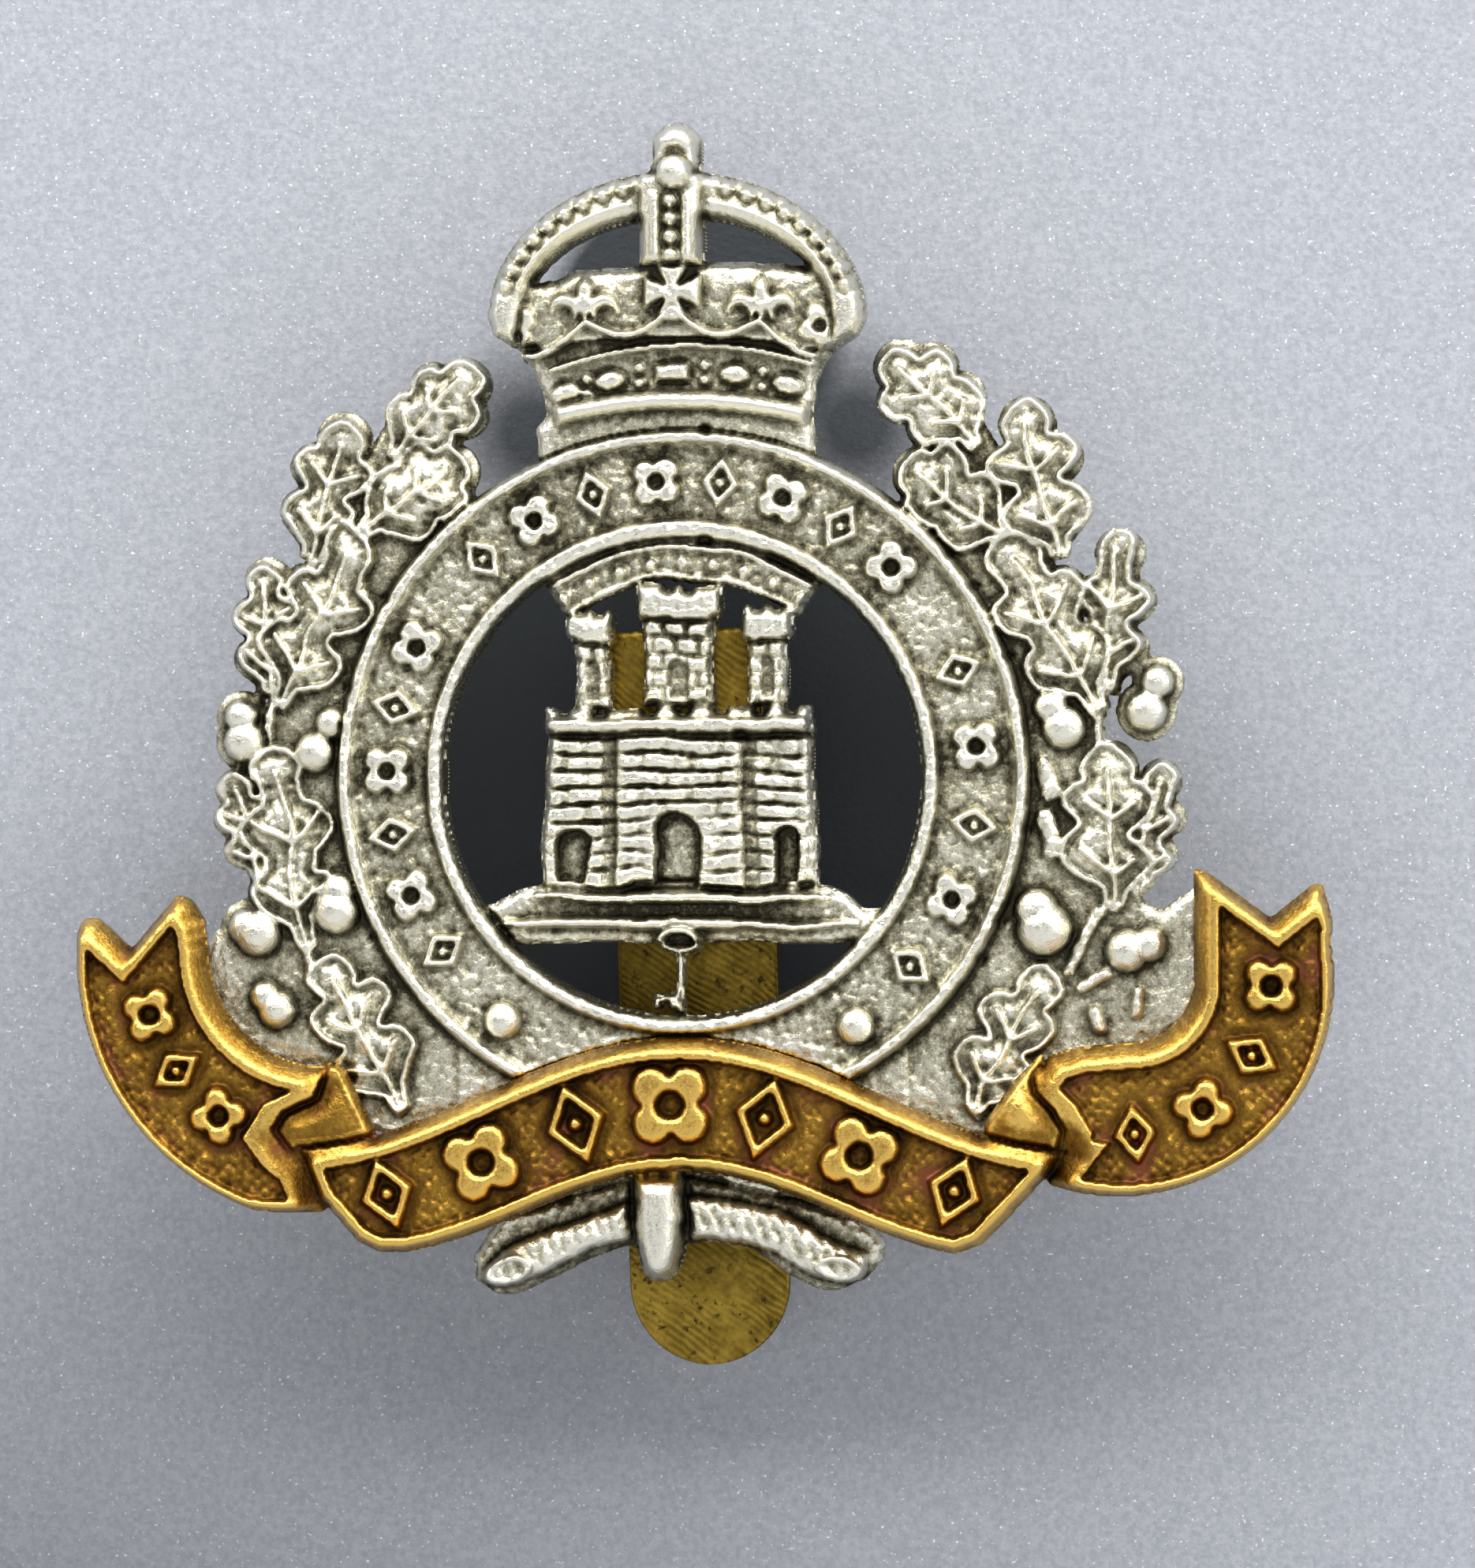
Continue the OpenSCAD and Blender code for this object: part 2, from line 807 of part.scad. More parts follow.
module acorns(acorn_list) {
    color(white_metal) difference() {
        in_front_of(sheet_h) clear_of_scroll()
            for (acorn = acorn_list) {
                run = acorn[1] - acorn[0];
                nut = acorn[1] - run / norm(run) * acorn[2] * 0.4;
                translate([acorn[0][0], -sheet_h, acorn[0][1]]) sphere(r = acorn[2] / 2);
                translate([nut[0], -sheet_h, nut[1]]) sphere(r = acorn[2] * 0.4);
            }
        plate(-detail, detail) circle(r = circlet_r);
    }
}

// The plain sheet behind one branch: its own outline and a margin round the leaves
module wreath_sheet(leaf_list, acorn_list, outline) {
    margin = 0.36;
    web_half = 8.2;
    difference() {
        union() {
            polygon(outline);
            for (acorn = acorn_list)
                placed_acorn(acorn, margin);
            for (leaf = leaf_list)
                placed_leaf(leaf, margin);
        }
        circle(r = circlet_r);
        translate([-web_half, -20]) square([2 * web_half, 14]);
    }
}

module wreath_back_left() {
    color(white_metal) plate(0, sheet_h)
        wreath_sheet(left_leaves, left_acorns, left_sheet);
}

module wreath_back_right() {
    color(white_metal) plate(0, sheet_h)
        wreath_sheet(right_leaves, right_acorns, right_sheet);
}

// A twig or bud: a bar with round ends
module bar(start, end, width) {
    from_to(start, end) {
        translate([-width / 2, 0]) square([width, norm(end - start)]);
        circle(r = width / 2);
        translate([0, norm(end - start)]) circle(r = width / 2);
    }
}

module twigs(twig_list, leaf_list, acorn_list) {
    color(white_metal) clear_of_scroll() plate(sheet_h, leaf_h) difference() {
        for (twig = twig_list)
            bar(twig[0], twig[1], twig[2]);
        for (leaf = leaf_list)
            placed_leaf(leaf, 0.06);
        for (acorn = acorn_list)
            placed_acorn(acorn, 0.06);
        circle(r = circlet_r);
    }
}

module twigs_left() {
    twigs(left_twigs, left_leaves, left_acorns);
}

module twigs_right() {
    twigs(right_twigs, right_leaves, right_acorns);
}

module leaves_left() {
    leaves(left_leaves, left_acorns);
}

module leaves_right() {
    leaves(right_leaves, right_acorns);
}

module acorns_left() {
    acorns(left_acorns);
}

module acorns_right() {
    acorns(right_acorns);
}

// ---- Crossed stalks and their tie ----

// The sheet that joins circlet, wreath and stalks behind the scroll
module scroll_web() {
    color(white_metal) plate(0, sheet_h) difference() {
        polygon([
            [-8.2, -9], [8.2, -9], [8.2, -13.6], [6.5, -15.2], [-6.5, -15.2], [-8.2, -13.6]
        ]);
        circle(r = circlet_r);
        stalk_outline(-1);
        stalk_outline(1);
        tie_outline();
    }
}

module stalk_outline(side) {
    difference() {
        polygon(side < 0 ? [
            [-0.6, -14.2], [-6.6, -15.9], [-7.7, -17.5], [-7.6, -18.3], [-6.9, -18.85],
            [-5.9, -18.85], [-4.7, -18.3], [-3.6, -17.65], [-2.2, -17.2], [-0.6, -17.1]
        ] : [
            [-0.6, -14.2], [6.3, -15.9], [7.3, -16.9], [7.2, -17.6], [6.7, -18.3],
            [5.9, -18.65], [4.9, -18.6], [3.8, -18], [2.6, -17.3], [1.2, -17], [-0.6, -17.1]
        ]);
        tie_outline();
    }
}

// The rounded upper part of a stalk
module stalk_crest(side) {
    difference() {
        polygon(side < 0 ? [
            [-1.2, -15.3], [-4, -16.2], [-6.6, -17.3], [-7.3, -17.9], [-6.9, -18.4],
            [-6.1, -18.5], [-5, -18.1], [-3.4, -17.2], [-1.2, -16.8]
        ] : [
            [-0.4, -15.1], [3.5, -15.7], [5, -16.6], [6.7, -17.3], [6.8, -17.9],
            [6.2, -18.35], [5, -18.2], [3.4, -17.3], [-0.4, -16.8]
        ]);
        tie_outline();
    }
}

module stalk(side) {
    cut = side < 0 ? [-6.35, -18] : [5.8, -17.85];
    color(white_metal) clear_of_scroll() {
        plate(0, 1.3) stalk_outline(side);
        plate(1.3, 1.7) stalk_crest(side);
        plate(1.7, 2) translate(cut) rotate(side * -12) difference() {
            polygon(oval([0, 0], [0.95, 0.5], 0, 345, 23));
            polygon(oval([0, 0], [0.65, 0.28], 0, 345, 23));
        }
    }
}

module stalk_left() {
    stalk(-1);
}

module stalk_right() {
    stalk(1);
}

module tie_outline() {
    polygon([
        [-1.75, -14.2], [0.05, -14.2], [0.15, -16], [0.1, -17.3], [-0.15, -18.1],
        [-0.6, -18.4], [-1, -18.4], [-1.45, -18.1], [-1.65, -17.3], [-1.8, -16]
    ]);
}

module tie_band() {
    color(white_metal) clear_of_scroll() {
        plate(0, 1.2) tie_outline();
        plate(1.2, 2.2) polygon([
            [-1.7, -14.6], [0, -14.6], [0.1, -16], [0, -17.2], [-0.25, -17.9],
            [-0.6, -18.15], [-1, -18.15], [-1.35, -17.9], [-1.6, -17.2], [-1.75, -16]
        ]);
    }
}

// ---- Scroll ----

function wave(shape, x) = shape[2] - shape[1] * (1 - cos(180 * x / shape[0])) / 2;

module centre_outline() {
    top = [for (x = [-14:1:14]) [x, wave(top_wave, x)]];
    bottom = [for (x = [10:-1:-10]) [x, wave(bottom_wave, x)]];
    right_end = [[13.2, -14.6], [12.1, -15.8], [11, -16.95]];
    left_end = [[-11, -17.35], [-11.9, -16.9], [-13.3, -15.3]];
    polygon(concat(top, right_end, bottom, left_end));
}

// Both ends of the ribbon turn up and finish in a swallow tail
module left_outline() {
    difference() {
        polygon(concat(
            arc(left_c, left_r, 174, 250, 20),
            [[-14.8, -15.9], [-13.2, -15.9], [-12.6, -15.3], [-13.6, -14.2], [-14.5, -13.5],
             [-14.95, -12.9], [-14.5, -12.2], [-13.4, -11.7], [-13.15, -11.1], [-13, -10.6]],
            arc(left_inner_c, left_inner_r, 268, 180, 12),
            [[-17.55, -5.2], [-18, -4.5], [-18.5, -4.3], [-20.2, -6.3], [-21.4, -5.2],
             [-21.9, -5.15]]
        ));
        centre_outline();
    }
}

module right_outline() {
    difference() {
        polygon(concat(
            [[23.65, -5.2], [23.3, -3.9], [22.9, -3.9], [21.4, -5.1], [19.2, -3.5],
             [18.65, -3.3], [18.6, -4.4]],
            arc(right_inner_c, right_inner_r, 0, -90, 8),
            [[14.4, -9.8], [13.4, -10.1], [12.85, -10.8], [12.9, -11.4], [13.6, -12.1],
             [14, -12.8], [13.8, -13.4], [13.4, -14], [13.3, -14.7]],
            arc(right_c, right_r, -108, 10, 24)
        ));
        centre_outline();
    }
}

module fold_outline(side) {
    difference() {
        if (side < 0)
            polygon([
                [-13, -10.4], [-12.4, -10.5], [-11.3, -12.7], [-11.3, -13.6],
                [-14.1, -14.5], [-15.2, -13], [-14.6, -12], [-13.6, -11.4]
            ]);
        else
            polygon([
                [13.2, -9.9], [12.2, -10.9], [11, -12.6], [11, -13.4], [13.8, -14.4],
                [14.2, -12.8], [13.7, -11.9], [13, -11]
            ]);
        centre_outline();
        left_outline();
        right_outline();
    }
}

module scroll_outline() {
    centre_outline();
    left_outline();
    right_outline();
    fold_outline(-1);
    fold_outline(1);
}

module scroll_centre() {
    color(brass) plate(scroll_back, scroll_h) centre_outline();
}

module scroll_left() {
    color(brass) plate(scroll_back, scroll_h) left_outline();
}

module scroll_right() {
    color(brass) plate(scroll_back, scroll_h) right_outline();
}

module scroll_fold_left() {
    color(brass) plate(scroll_back, scroll_h + 0.2) fold_outline(-1);
}

module scroll_fold_right() {
    color(brass) plate(scroll_back, scroll_h + 0.2) fold_outline(1);
}

// The raised line that follows the edge of a ribbon
module border_of(shift) {
    inset = 0.45;
    wire = 0.25;
    intersection() {
        children();
        translate(shift) difference() {
            offset(delta = -inset) children();
            offset(delta = -inset - wire) children();
        }
    }
}

module scroll_borders() {
    color(brass) plate(scroll_h, border_h) {
        border_of([0, -0.12]) centre_outline();
        border_of([-0.25, -0.25]) left_outline();
        border_of([0.28, -0.22]) right_outline();
    }
}

module scroll_ornaments_centre() {
    count = 7;
    first = -10.7;
    step = 3.45;
    color(brass) plate(scroll_h, border_h)
        for (i = [0:count - 1]) {
            x = first + step * i;
            z = (wave(top_wave, x) + wave(bottom_wave, x)) / 2;
            slope = wave(top_wave, x + 0.5) - wave(top_wave, x - 0.5);
            height = 3.4 - 0.05 * abs(x);
            translate([x, z]) rotate(atan(slope)) ornament(i, height, 0.5);
        }
}

// Ornaments on a ribbon end, spaced about the centre of its outer edge
module end_ornaments(c, radius, from, to, count, height) {
    color(brass) plate(scroll_h, border_h)
        for (i = [0:count - 1]) {
            angle = from + (to - from) * i / (count - 1);
            translate(c + radius * [cos(angle), sin(angle)])
                rotate(angle + 90) ornament(i + 1, height, 0.45);
        }
}

module scroll_ornaments_left() {
    end_ornaments(left_c, 7.45, 197, 232, 3, 2.2);
}

module scroll_ornaments_right() {
    end_ornaments(right_c, 5.6, -2, -83, 4, 2.3);
}

// Beads of hard solder in the corner between the white-metal sheet and the scroll's back
module scroll_solder(side) {
    bead = 0.5;
    color(solder_grey) plate(scroll_back - bead, scroll_back) polygon([
        [side * 8.2, -13.6], [side * 6.5, -15.2], [side * 7, -15.6], [side * 8.7, -14.2],
        [side * 8.7, -13.6]
    ]);
}

module scroll_solder_left() {
    scroll_solder(-1);
}

module scroll_solder_right() {
    scroll_solder(1);
}

// ---- Slider ----

// The slider leans a little, so everything on it is drawn straight and then turned
module leaning() {
    rotate([0, -slider_lean, 0]) children();
}

// Side view of the strip's foot and bend, from the badge's back to the blade
module slider_foot() {
    color(slider_brass) leaning()
        translate([-slider_w / 2, 0, 0])
            rotate([90, 0, 90])
                linear_extrude(slider_w)
                    polygon([
                        [0, foot_bottom], [0, slider_top], [slider_t, slider_top],
                        [slider_t, foot_bottom + 0.25], [blade_back, bend_bottom + 0.55],
                        [blade_back, bend_bottom], [blade_front, bend_bottom],
                        [blade_front, bend_bottom + 0.35]
                    ]);
}

module slider_blade() {
    radius = slider_w / 2;
    top = bend_bottom - blade_clearance;
    color(slider_brass) leaning() plate(-blade_back, -blade_front) {
        translate([-radius, slider_tip + radius]) square([slider_w, top - slider_tip - radius]);
        translate([0, slider_tip + radius]) circle(r = radius);
    }
}

// A bead of hard solder down both edges of the slider's foot, on the castle's back
module slider_braze() {
    bead = 0.45;
    color(solder_grey) leaning() plate(-0.3, 0)
        for (side = [-1, 1])
            translate([side * (slider_w + bead) / 2 - bead / 2, foot_bottom + 0.2])
                square([bead, 2.6]);
}

circlet();
circlet_ornaments();
circlet_pellets();
castle_wall();
castle_battlement();
castle_tower_left();
castle_tower_centre();
castle_tower_right();
castle_rock();
castle_label();
label_ornaments();
key();
crown_arch_left();
crown_arch_right();
crown_arch_centre();
crown_pearls();
crown_cap();
crown_fleurs();
crown_cross_pattee();
crown_ridge();
crown_band();
crown_jewels();
crown_foot();
crown_orb();
crown_cross();
wreath_back_left();
wreath_back_right();
leaves_left();
leaves_right();
acorns_left();
acorns_right();
twigs_left();
twigs_right();
scroll_web();
stalk_left();
stalk_right();
tie_band();
scroll_centre();
scroll_left();
scroll_right();
scroll_fold_left();
scroll_fold_right();
scroll_borders();
scroll_ornaments_centre();
scroll_ornaments_left();
scroll_ornaments_right();
scroll_solder_left();
scroll_solder_right();
slider_foot();
slider_blade();
slider_braze();
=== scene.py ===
"""Looks of the cap badge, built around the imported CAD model.

The badge is two struck sheets and a bent strip. Each sheet is one relief: a grid of heights that starts
from the CAD nodes' own fronts, gets the soft shoulders, wires and grain of struck metal, and is then cut
into one closed shell for each region. Lengths in the relief are in millimetres, y runs out of the back.
"""

import json
import math

import bmesh
import bpy
import numpy as np
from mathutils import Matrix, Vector
from mathutils.bvhtree import BVHTree

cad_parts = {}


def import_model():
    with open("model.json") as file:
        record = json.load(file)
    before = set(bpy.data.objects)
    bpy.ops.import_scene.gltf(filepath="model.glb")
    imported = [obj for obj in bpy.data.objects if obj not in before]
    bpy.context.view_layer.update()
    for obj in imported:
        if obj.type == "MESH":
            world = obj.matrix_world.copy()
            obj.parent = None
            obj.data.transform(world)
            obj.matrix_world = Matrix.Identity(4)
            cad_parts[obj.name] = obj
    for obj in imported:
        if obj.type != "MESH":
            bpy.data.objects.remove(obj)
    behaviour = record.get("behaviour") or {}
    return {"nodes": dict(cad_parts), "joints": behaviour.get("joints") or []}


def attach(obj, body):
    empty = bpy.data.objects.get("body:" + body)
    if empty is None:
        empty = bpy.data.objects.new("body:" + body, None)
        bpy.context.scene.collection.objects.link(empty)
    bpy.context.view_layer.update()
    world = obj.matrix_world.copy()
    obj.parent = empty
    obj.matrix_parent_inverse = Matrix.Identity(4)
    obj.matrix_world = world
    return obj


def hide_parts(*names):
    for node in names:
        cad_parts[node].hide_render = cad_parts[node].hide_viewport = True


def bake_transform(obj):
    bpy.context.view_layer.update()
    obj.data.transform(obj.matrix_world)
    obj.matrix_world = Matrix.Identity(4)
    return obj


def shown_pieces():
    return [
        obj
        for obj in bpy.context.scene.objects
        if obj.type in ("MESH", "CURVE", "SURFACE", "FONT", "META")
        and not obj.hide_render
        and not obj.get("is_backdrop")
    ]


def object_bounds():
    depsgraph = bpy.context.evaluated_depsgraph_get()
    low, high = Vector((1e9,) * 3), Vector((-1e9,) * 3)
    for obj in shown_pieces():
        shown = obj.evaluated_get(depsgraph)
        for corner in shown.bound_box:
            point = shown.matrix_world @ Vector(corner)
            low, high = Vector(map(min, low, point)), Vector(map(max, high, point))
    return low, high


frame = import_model()
cad_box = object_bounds()

MM = 0.001
# One square of the relief's grid, and the grid's margin round the badge
CELL = 0.065
MARGIN = 1.0
# How far above its ground a height has to be to count as raised work
RAISED = 0.03

# ---- The grid that both reliefs share ----

low_mm = cad_box[0] / MM
high_mm = cad_box[1] / MM
xs = np.arange(low_mm.x - MARGIN, high_mm.x + MARGIN, CELL)
zs = np.arange(low_mm.z - MARGIN, high_mm.z + MARGIN, CELL)
grid_x, grid_z = np.meshgrid(xs, zs)


def blur(field, size):
    """The field averaged with a bell of that size, in mm."""
    rows = np.fft.fftfreq(field.shape[0], CELL)[:, None]
    columns = np.fft.rfftfreq(field.shape[1], CELL)[None, :]
    bell = np.exp(-2 * (math.pi * size) ** 2 * (rows ** 2 + columns ** 2))
    return np.fft.irfft2(np.fft.rfft2(field) * bell, field.shape)


def along_x(field, size):
    """The field averaged sideways only."""
    columns = np.fft.rfftfreq(field.shape[1], CELL)
    bell = np.exp(-2 * (math.pi * size * columns) ** 2)
    return np.fft.irfft(np.fft.rfft(field, axis=1) * bell, field.shape[1], axis=1)


def grain(size, seed):
    """Smooth random bumps of that size in mm, mostly between -2 and 2."""
    field = blur(np.random.default_rng(seed).standard_normal(grid_x.shape), size)
    return field / field.std()


def smooth_step(value, start, end):
    """0 before start, 1 after end, and an S between them."""
    t = np.clip((value - start) / (end - start), 0, 1)
    return t * t * (3 - 2 * t)


def inside_distance(mask, reach):
    """How far each inside point is from the outside, in mm, and at most reach."""
    steps = int(reach / CELL) + 1
    far = steps + 1
    column = np.arange(mask.shape[1])
    before = np.maximum.accumulate(np.where(mask, -far, column), axis=1)
    after = np.minimum.accumulate(
        np.where(mask, mask.shape[1] + far, column)[:, ::-1], axis=1)[:, ::-1]
    along = np.minimum(np.minimum(column - before, after - column), far).astype(float)
    best = along ** 2
    for step in range(1, steps + 1):
        shifted = along[step:] ** 2 + step ** 2
        best[:-step] = np.minimum(best[:-step], shifted)
        shifted = along[:-step] ** 2 + step ** 2
        best[step:] = np.minimum(best[step:], shifted)
    distance = np.clip((np.sqrt(best) - 0.5) * CELL, 0, reach)
    return np.where(mask, blur(distance, 0.045), 0)


def spread(seed, allowed, steps):
    """Grows seed through allowed, one cell at a time."""
    for _ in range(steps):
        grown = seed.copy()
        grown[1:] |= seed[:-1]
        grown[:-1] |= seed[1:]
        grown[:, 1:] |= seed[:, :-1]
        grown[:, :-1] |= seed[:, 1:]
        seed = grown & (allowed | seed)
    return seed


def ridge(distance, middle, half_width):
    """A rounded wire: 1 along its middle, 0 from half_width away."""
    across = (distance - middle) / half_width
    return np.sqrt(np.clip(1 - across ** 2, 0, 1))


def shoulder(distance, radius):
    """A quarter-round rise from 0 at the edge to 1 at the radius."""
    across = 1 - np.clip(distance / radius, 0, 1)
    return np.sqrt(1 - across ** 2)


# ---- Heights of the CAD nodes' fronts ----

# How far the struck outlines wander from the drawn ones
wander_x = 0.1 * grain(0.55, 11)
wander_z = 0.1 * grain(0.55, 12)


def triangles(mesh):
    """The mesh as loose parts, each a pair of point list and face list, in mm."""
    points = [v.co / MM for v in mesh.vertices]
    owner = list(range(len(points)))

    def find(i):
        while owner[i] != i:
            owner[i] = owner[owner[i]]
            i = owner[i]
        return i

    first_at = {}
    for i, point in enumerate(points):
        key = (round(point.x, 3), round(point.y, 3), round(point.z, 3))
        owner[i] = find(first_at.setdefault(key, i))
    for face in mesh.polygons:
        corners = list(face.vertices)
        for corner in corners[1:]:
            owner[find(corner)] = find(corners[0])
    groups = {}
    for face in mesh.polygons:
        groups.setdefault(find(face.vertices[0]), []).append(list(face.vertices))
    return points, [groups[key] for key in sorted(groups)]


def front_heights(points, faces, wandering=0.0):
    """Height in mm of that part's front at every grid point, and 0 beside it."""
    tree = BVHTree.FromPolygons(points, faces)
    used = np.array([points[i] for face in faces for i in face])
    room = 0.05 + 0.4 * wandering
    columns = np.flatnonzero((xs > used[:, 0].min() - room) & (xs < used[:, 0].max() + room))
    rows = np.flatnonzero((zs > used[:, 2].min() - room) & (zs < used[:, 2].max() + room))
    heights = np.zeros(grid_x.shape)
    along = Vector((0, 1, 0))
    for row in rows:
        for column in columns:
            x = xs[column] + wandering * wander_x[row, column] + 0.0007
            z = zs[row] + wandering * wander_z[row, column] + 0.0003
            hit = tree.ray_cast(Vector((x, -10, z)), along, 20)[0]
            if hit is not None:
                heights[row, column] = -hit.y
    return heights


outline_of = {}


def part_heights(name, wandering=0.0):
    """The fronts of a node's separate solids, one field each."""
    points, parts = triangles(frame["nodes"][name].data)
    heights = [front_heights(points, part, wandering) for part in parts]
    outline_of[name] = (np.max(heights, axis=0) > 0).astype(float)
    return heights


def node_height(name, wandering=0.0):
    """The front of a whole node."""
    points, parts = triangles(frame["nodes"][name].data)
    heights = front_heights(points, [face for part in parts for face in part], wandering)
    outline_of[name] = (heights > 0).astype(float)
    return heights


def over(relief, outline, height):
    """The relief raised to at least that height inside an outline."""
    return np.maximum(relief, np.where(outline > 0, height, 0))


def lay(relief, heights, ground, radius, gain=1.0):
    """Adds raised work to a relief that may be curved, each feature with round shoulders."""
    mask = heights > ground + RAISED
    rise = shoulder(inside_distance(mask, radius), radius)
    return relief + np.where(mask, gain * (heights - ground) * rise, 0)


# ---- White metal: one pressed sheet ----

# Heights of the grounds that the raised work stands on
SHEET = 0.9
CIRCLET_FIELD = 1.1
CASTLE_WALL = 1.3
CASTLE_BAY = 1.55
CROWN_BAND = 1.3
CROWN_CAP = 1.5

pits = grain(0.07, 21)
waves = grain(0.5, 22)
found = {}


def plain(name):
    """The front of a node with its outline as drawn, worked out once."""
    if name not in found:
        found[name] = node_height(name)
    return found[name]


def wreath(relief, side):
    """Ground, leaves, acorns and twigs of one branch."""
    sheet = plain("wreath_back_" + side) > 0
    relief = over(relief, sheet, SHEET - 0.14 + 0.05 * waves + 0.02 * pits)
    vein_height = 1.45
    for leaf in part_heights("leaves_" + side, 1.0):
        # The leaf spreads nearly to the edge of the sheet that is left round it
        mask = spread(leaf > 0, sheet, 4)
        distance = inside_distance(mask, 1.2)
        veins = blur((leaf > vein_height).astype(float), 0.04)
        belly = smooth_step(distance, 0.2, 0.8)
        body = 0.94 + 0.24 * belly + 0.03 * pits + 0.1 * waves
        wire = (0.3 + 0.06 * waves) * ridge(distance, 0.12, 0.12)
        groove = blur(veins, 0.16)
        relief = np.where(mask, body + wire + 0.42 * veins - 0.25 * groove, relief)
    twigs = node_height("twigs_" + side, 0.6)
    round_back = shoulder(inside_distance(twigs > 0, 0.7), 0.7)
    relief = over(relief, twigs, 0.85 + 0.4 * round_back + 0.04 * pits)
    acorns = node_height("acorns_" + side)
    return over(relief, acorns, acorns + 0.012 * pits)


def circlet(relief):
    """Field, rims, ornaments and the two pellets."""
    band = plain("circlet")
    relief = over(relief, band, np.minimum(band, CIRCLET_FIELD) + 0.03 * waves + 0.03 * pits)
    relief = lay(relief, band, CIRCLET_FIELD, 0.2)
    relief = lay(relief, plain("circlet_ornaments"), CIRCLET_FIELD, 0.17)
    return np.maximum(relief, plain("circlet_pellets"))


def masonry(relief, name, ground, radius, gain=1.25, deepest=0.5):
    """Stones with round shoulders on a ground; windows are sunk into it by no more than deepest."""
    stones = node_height(name, 0.5)
    low = np.clip(stones, ground - deepest, ground) + 0.03 * pits
    return lay(over(relief, stones, low), stones, ground, radius, gain)


def castle(relief):
    """Wall with smeared courses, towers, battlement, rock, label and key."""
    wall = node_height("castle_wall", 0.7)
    ground = np.where(wall > CASTLE_BAY - RAISED, CASTLE_BAY, CASTLE_WALL)
    low = np.minimum(wall, ground) + 0.03 * pits
    stones = np.where(wall > ground + RAISED, 1.0, 0.0)
    courses = np.maximum(along_x(stones, 0.09), 0.75 * along_x(stones, 0.35))
    courses = 0.34 * courses * (1 + 0.25 * waves)
    relief = over(relief, wall, low + np.where(wall > ground - 0.1, courses, 0))
    for tower in ("left", "centre", "right"):
        relief = masonry(relief, "castle_tower_" + tower, CASTLE_WALL, 0.13, 1.5, 0.1)
    relief = masonry(relief, "castle_battlement", 1.25, 0.24, 1.5)
    relief = masonry(relief, "castle_rock", 1.2, 0.22, 1.5)
    label = 1.1
    relief = masonry(relief, "castle_label", label, 0.12)
    relief = lay(relief, plain("label_ornaments"), label, 0.2, 1.6)
    return masonry(relief, "key", 0.35, 0.22)


def beads(relief, name, rise, radius):
    """Round studs on a curved ground, each in a shallow ring-shaped hollow."""
    studs = plain(name) > 0
    near = blur(studs.astype(float), 0.18)
    relief = np.where(relief > 0, relief - 0.5 * rise * smooth_step(near, 0.05, 0.5), relief)
    return relief + np.where(studs, 1.3 * rise * shoulder(inside_distance(studs, radius), radius), 0)


def crown_ground(relief, arches):
    """The puffed cap between the arches and the jewelled band below it."""
    cap = plain("crown_cap")
    band = plain("crown_band")
    puff = shoulder(inside_distance(arches | (band > 0) | (cap > 0), 1.1), 1.1)
    relief = over(relief, cap, 1.2 + 0.45 * puff + 0.02 * pits)
    relief = over(relief, band, np.minimum(band, CROWN_BAND) + 0.02 * pits)
    relief = lay(relief, band, CROWN_BAND, 0.12)
    return beads(relief, "crown_jewels", 0.4, 0.3)


def crown_arches(relief, arches):
    """Round-backed side arches with an inner ridge, and the middle arch with its two rails."""
    side_ground = 2.08
    middle_ground = 2.55
    round_back = shoulder(inside_distance(arches, 0.5), 0.5)
    for side in ("left", "right"):
        arch = plain("crown_arch_" + side)
        relief = over(relief, arch, 1.3 + 0.7 * round_back)
        relief = lay(relief, arch, side_ground, 0.1)
    middle = plain("crown_arch_centre")
    round_back = shoulder(inside_distance(middle > 0, 0.35), 0.35)
    relief = over(relief, middle, 1.7 + 0.7 * round_back)
    return lay(relief, middle, middle_ground, 0.15)


def finial(relief):
    """A rounded cross that grows out of the middle arch, with the orb in front of its foot."""
    cross_ground = 2.15
    cross = plain("crown_cross")
    block = (cross > 0) | (plain("crown_orb") > 0) | (plain("crown_arch_centre") > 0)
    round_back = shoulder(inside_distance(block, 0.7), 0.7)
    relief = over(relief, cross, 1.25 + round_back)
    relief = lay(relief, cross, cross_ground, 0.4, 0.3)
    return np.maximum(relief, plain("crown_orb"))


def crown(relief):
    """Cap and band, the arches over them, the work laid on both, and the finial."""
    arches = plain("crown_orb") > 0
    for part in ("left", "right", "centre"):
        arches = arches | (plain("crown_arch_" + part) > 0)
    relief = crown_ground(relief, arches)
    relief = crown_arches(relief, arches)
    relief = lay(relief, plain("crown_fleurs"), CROWN_CAP, 0.25, 0.9)
    relief = lay(relief, plain("crown_cross_pattee"), CROWN_CAP, 0.2, 0.9)
    relief = lay(relief, plain("crown_ridge"), CROWN_CAP, 0.14, 0.8)
    relief = beads(relief, "crown_pearls", 0.5, 0.3)
    foot = plain("crown_foot")
    raised_foot = lay(np.minimum(foot, SHEET), foot, SHEET, 0.6)
    return finial(np.maximum(relief, raised_foot))


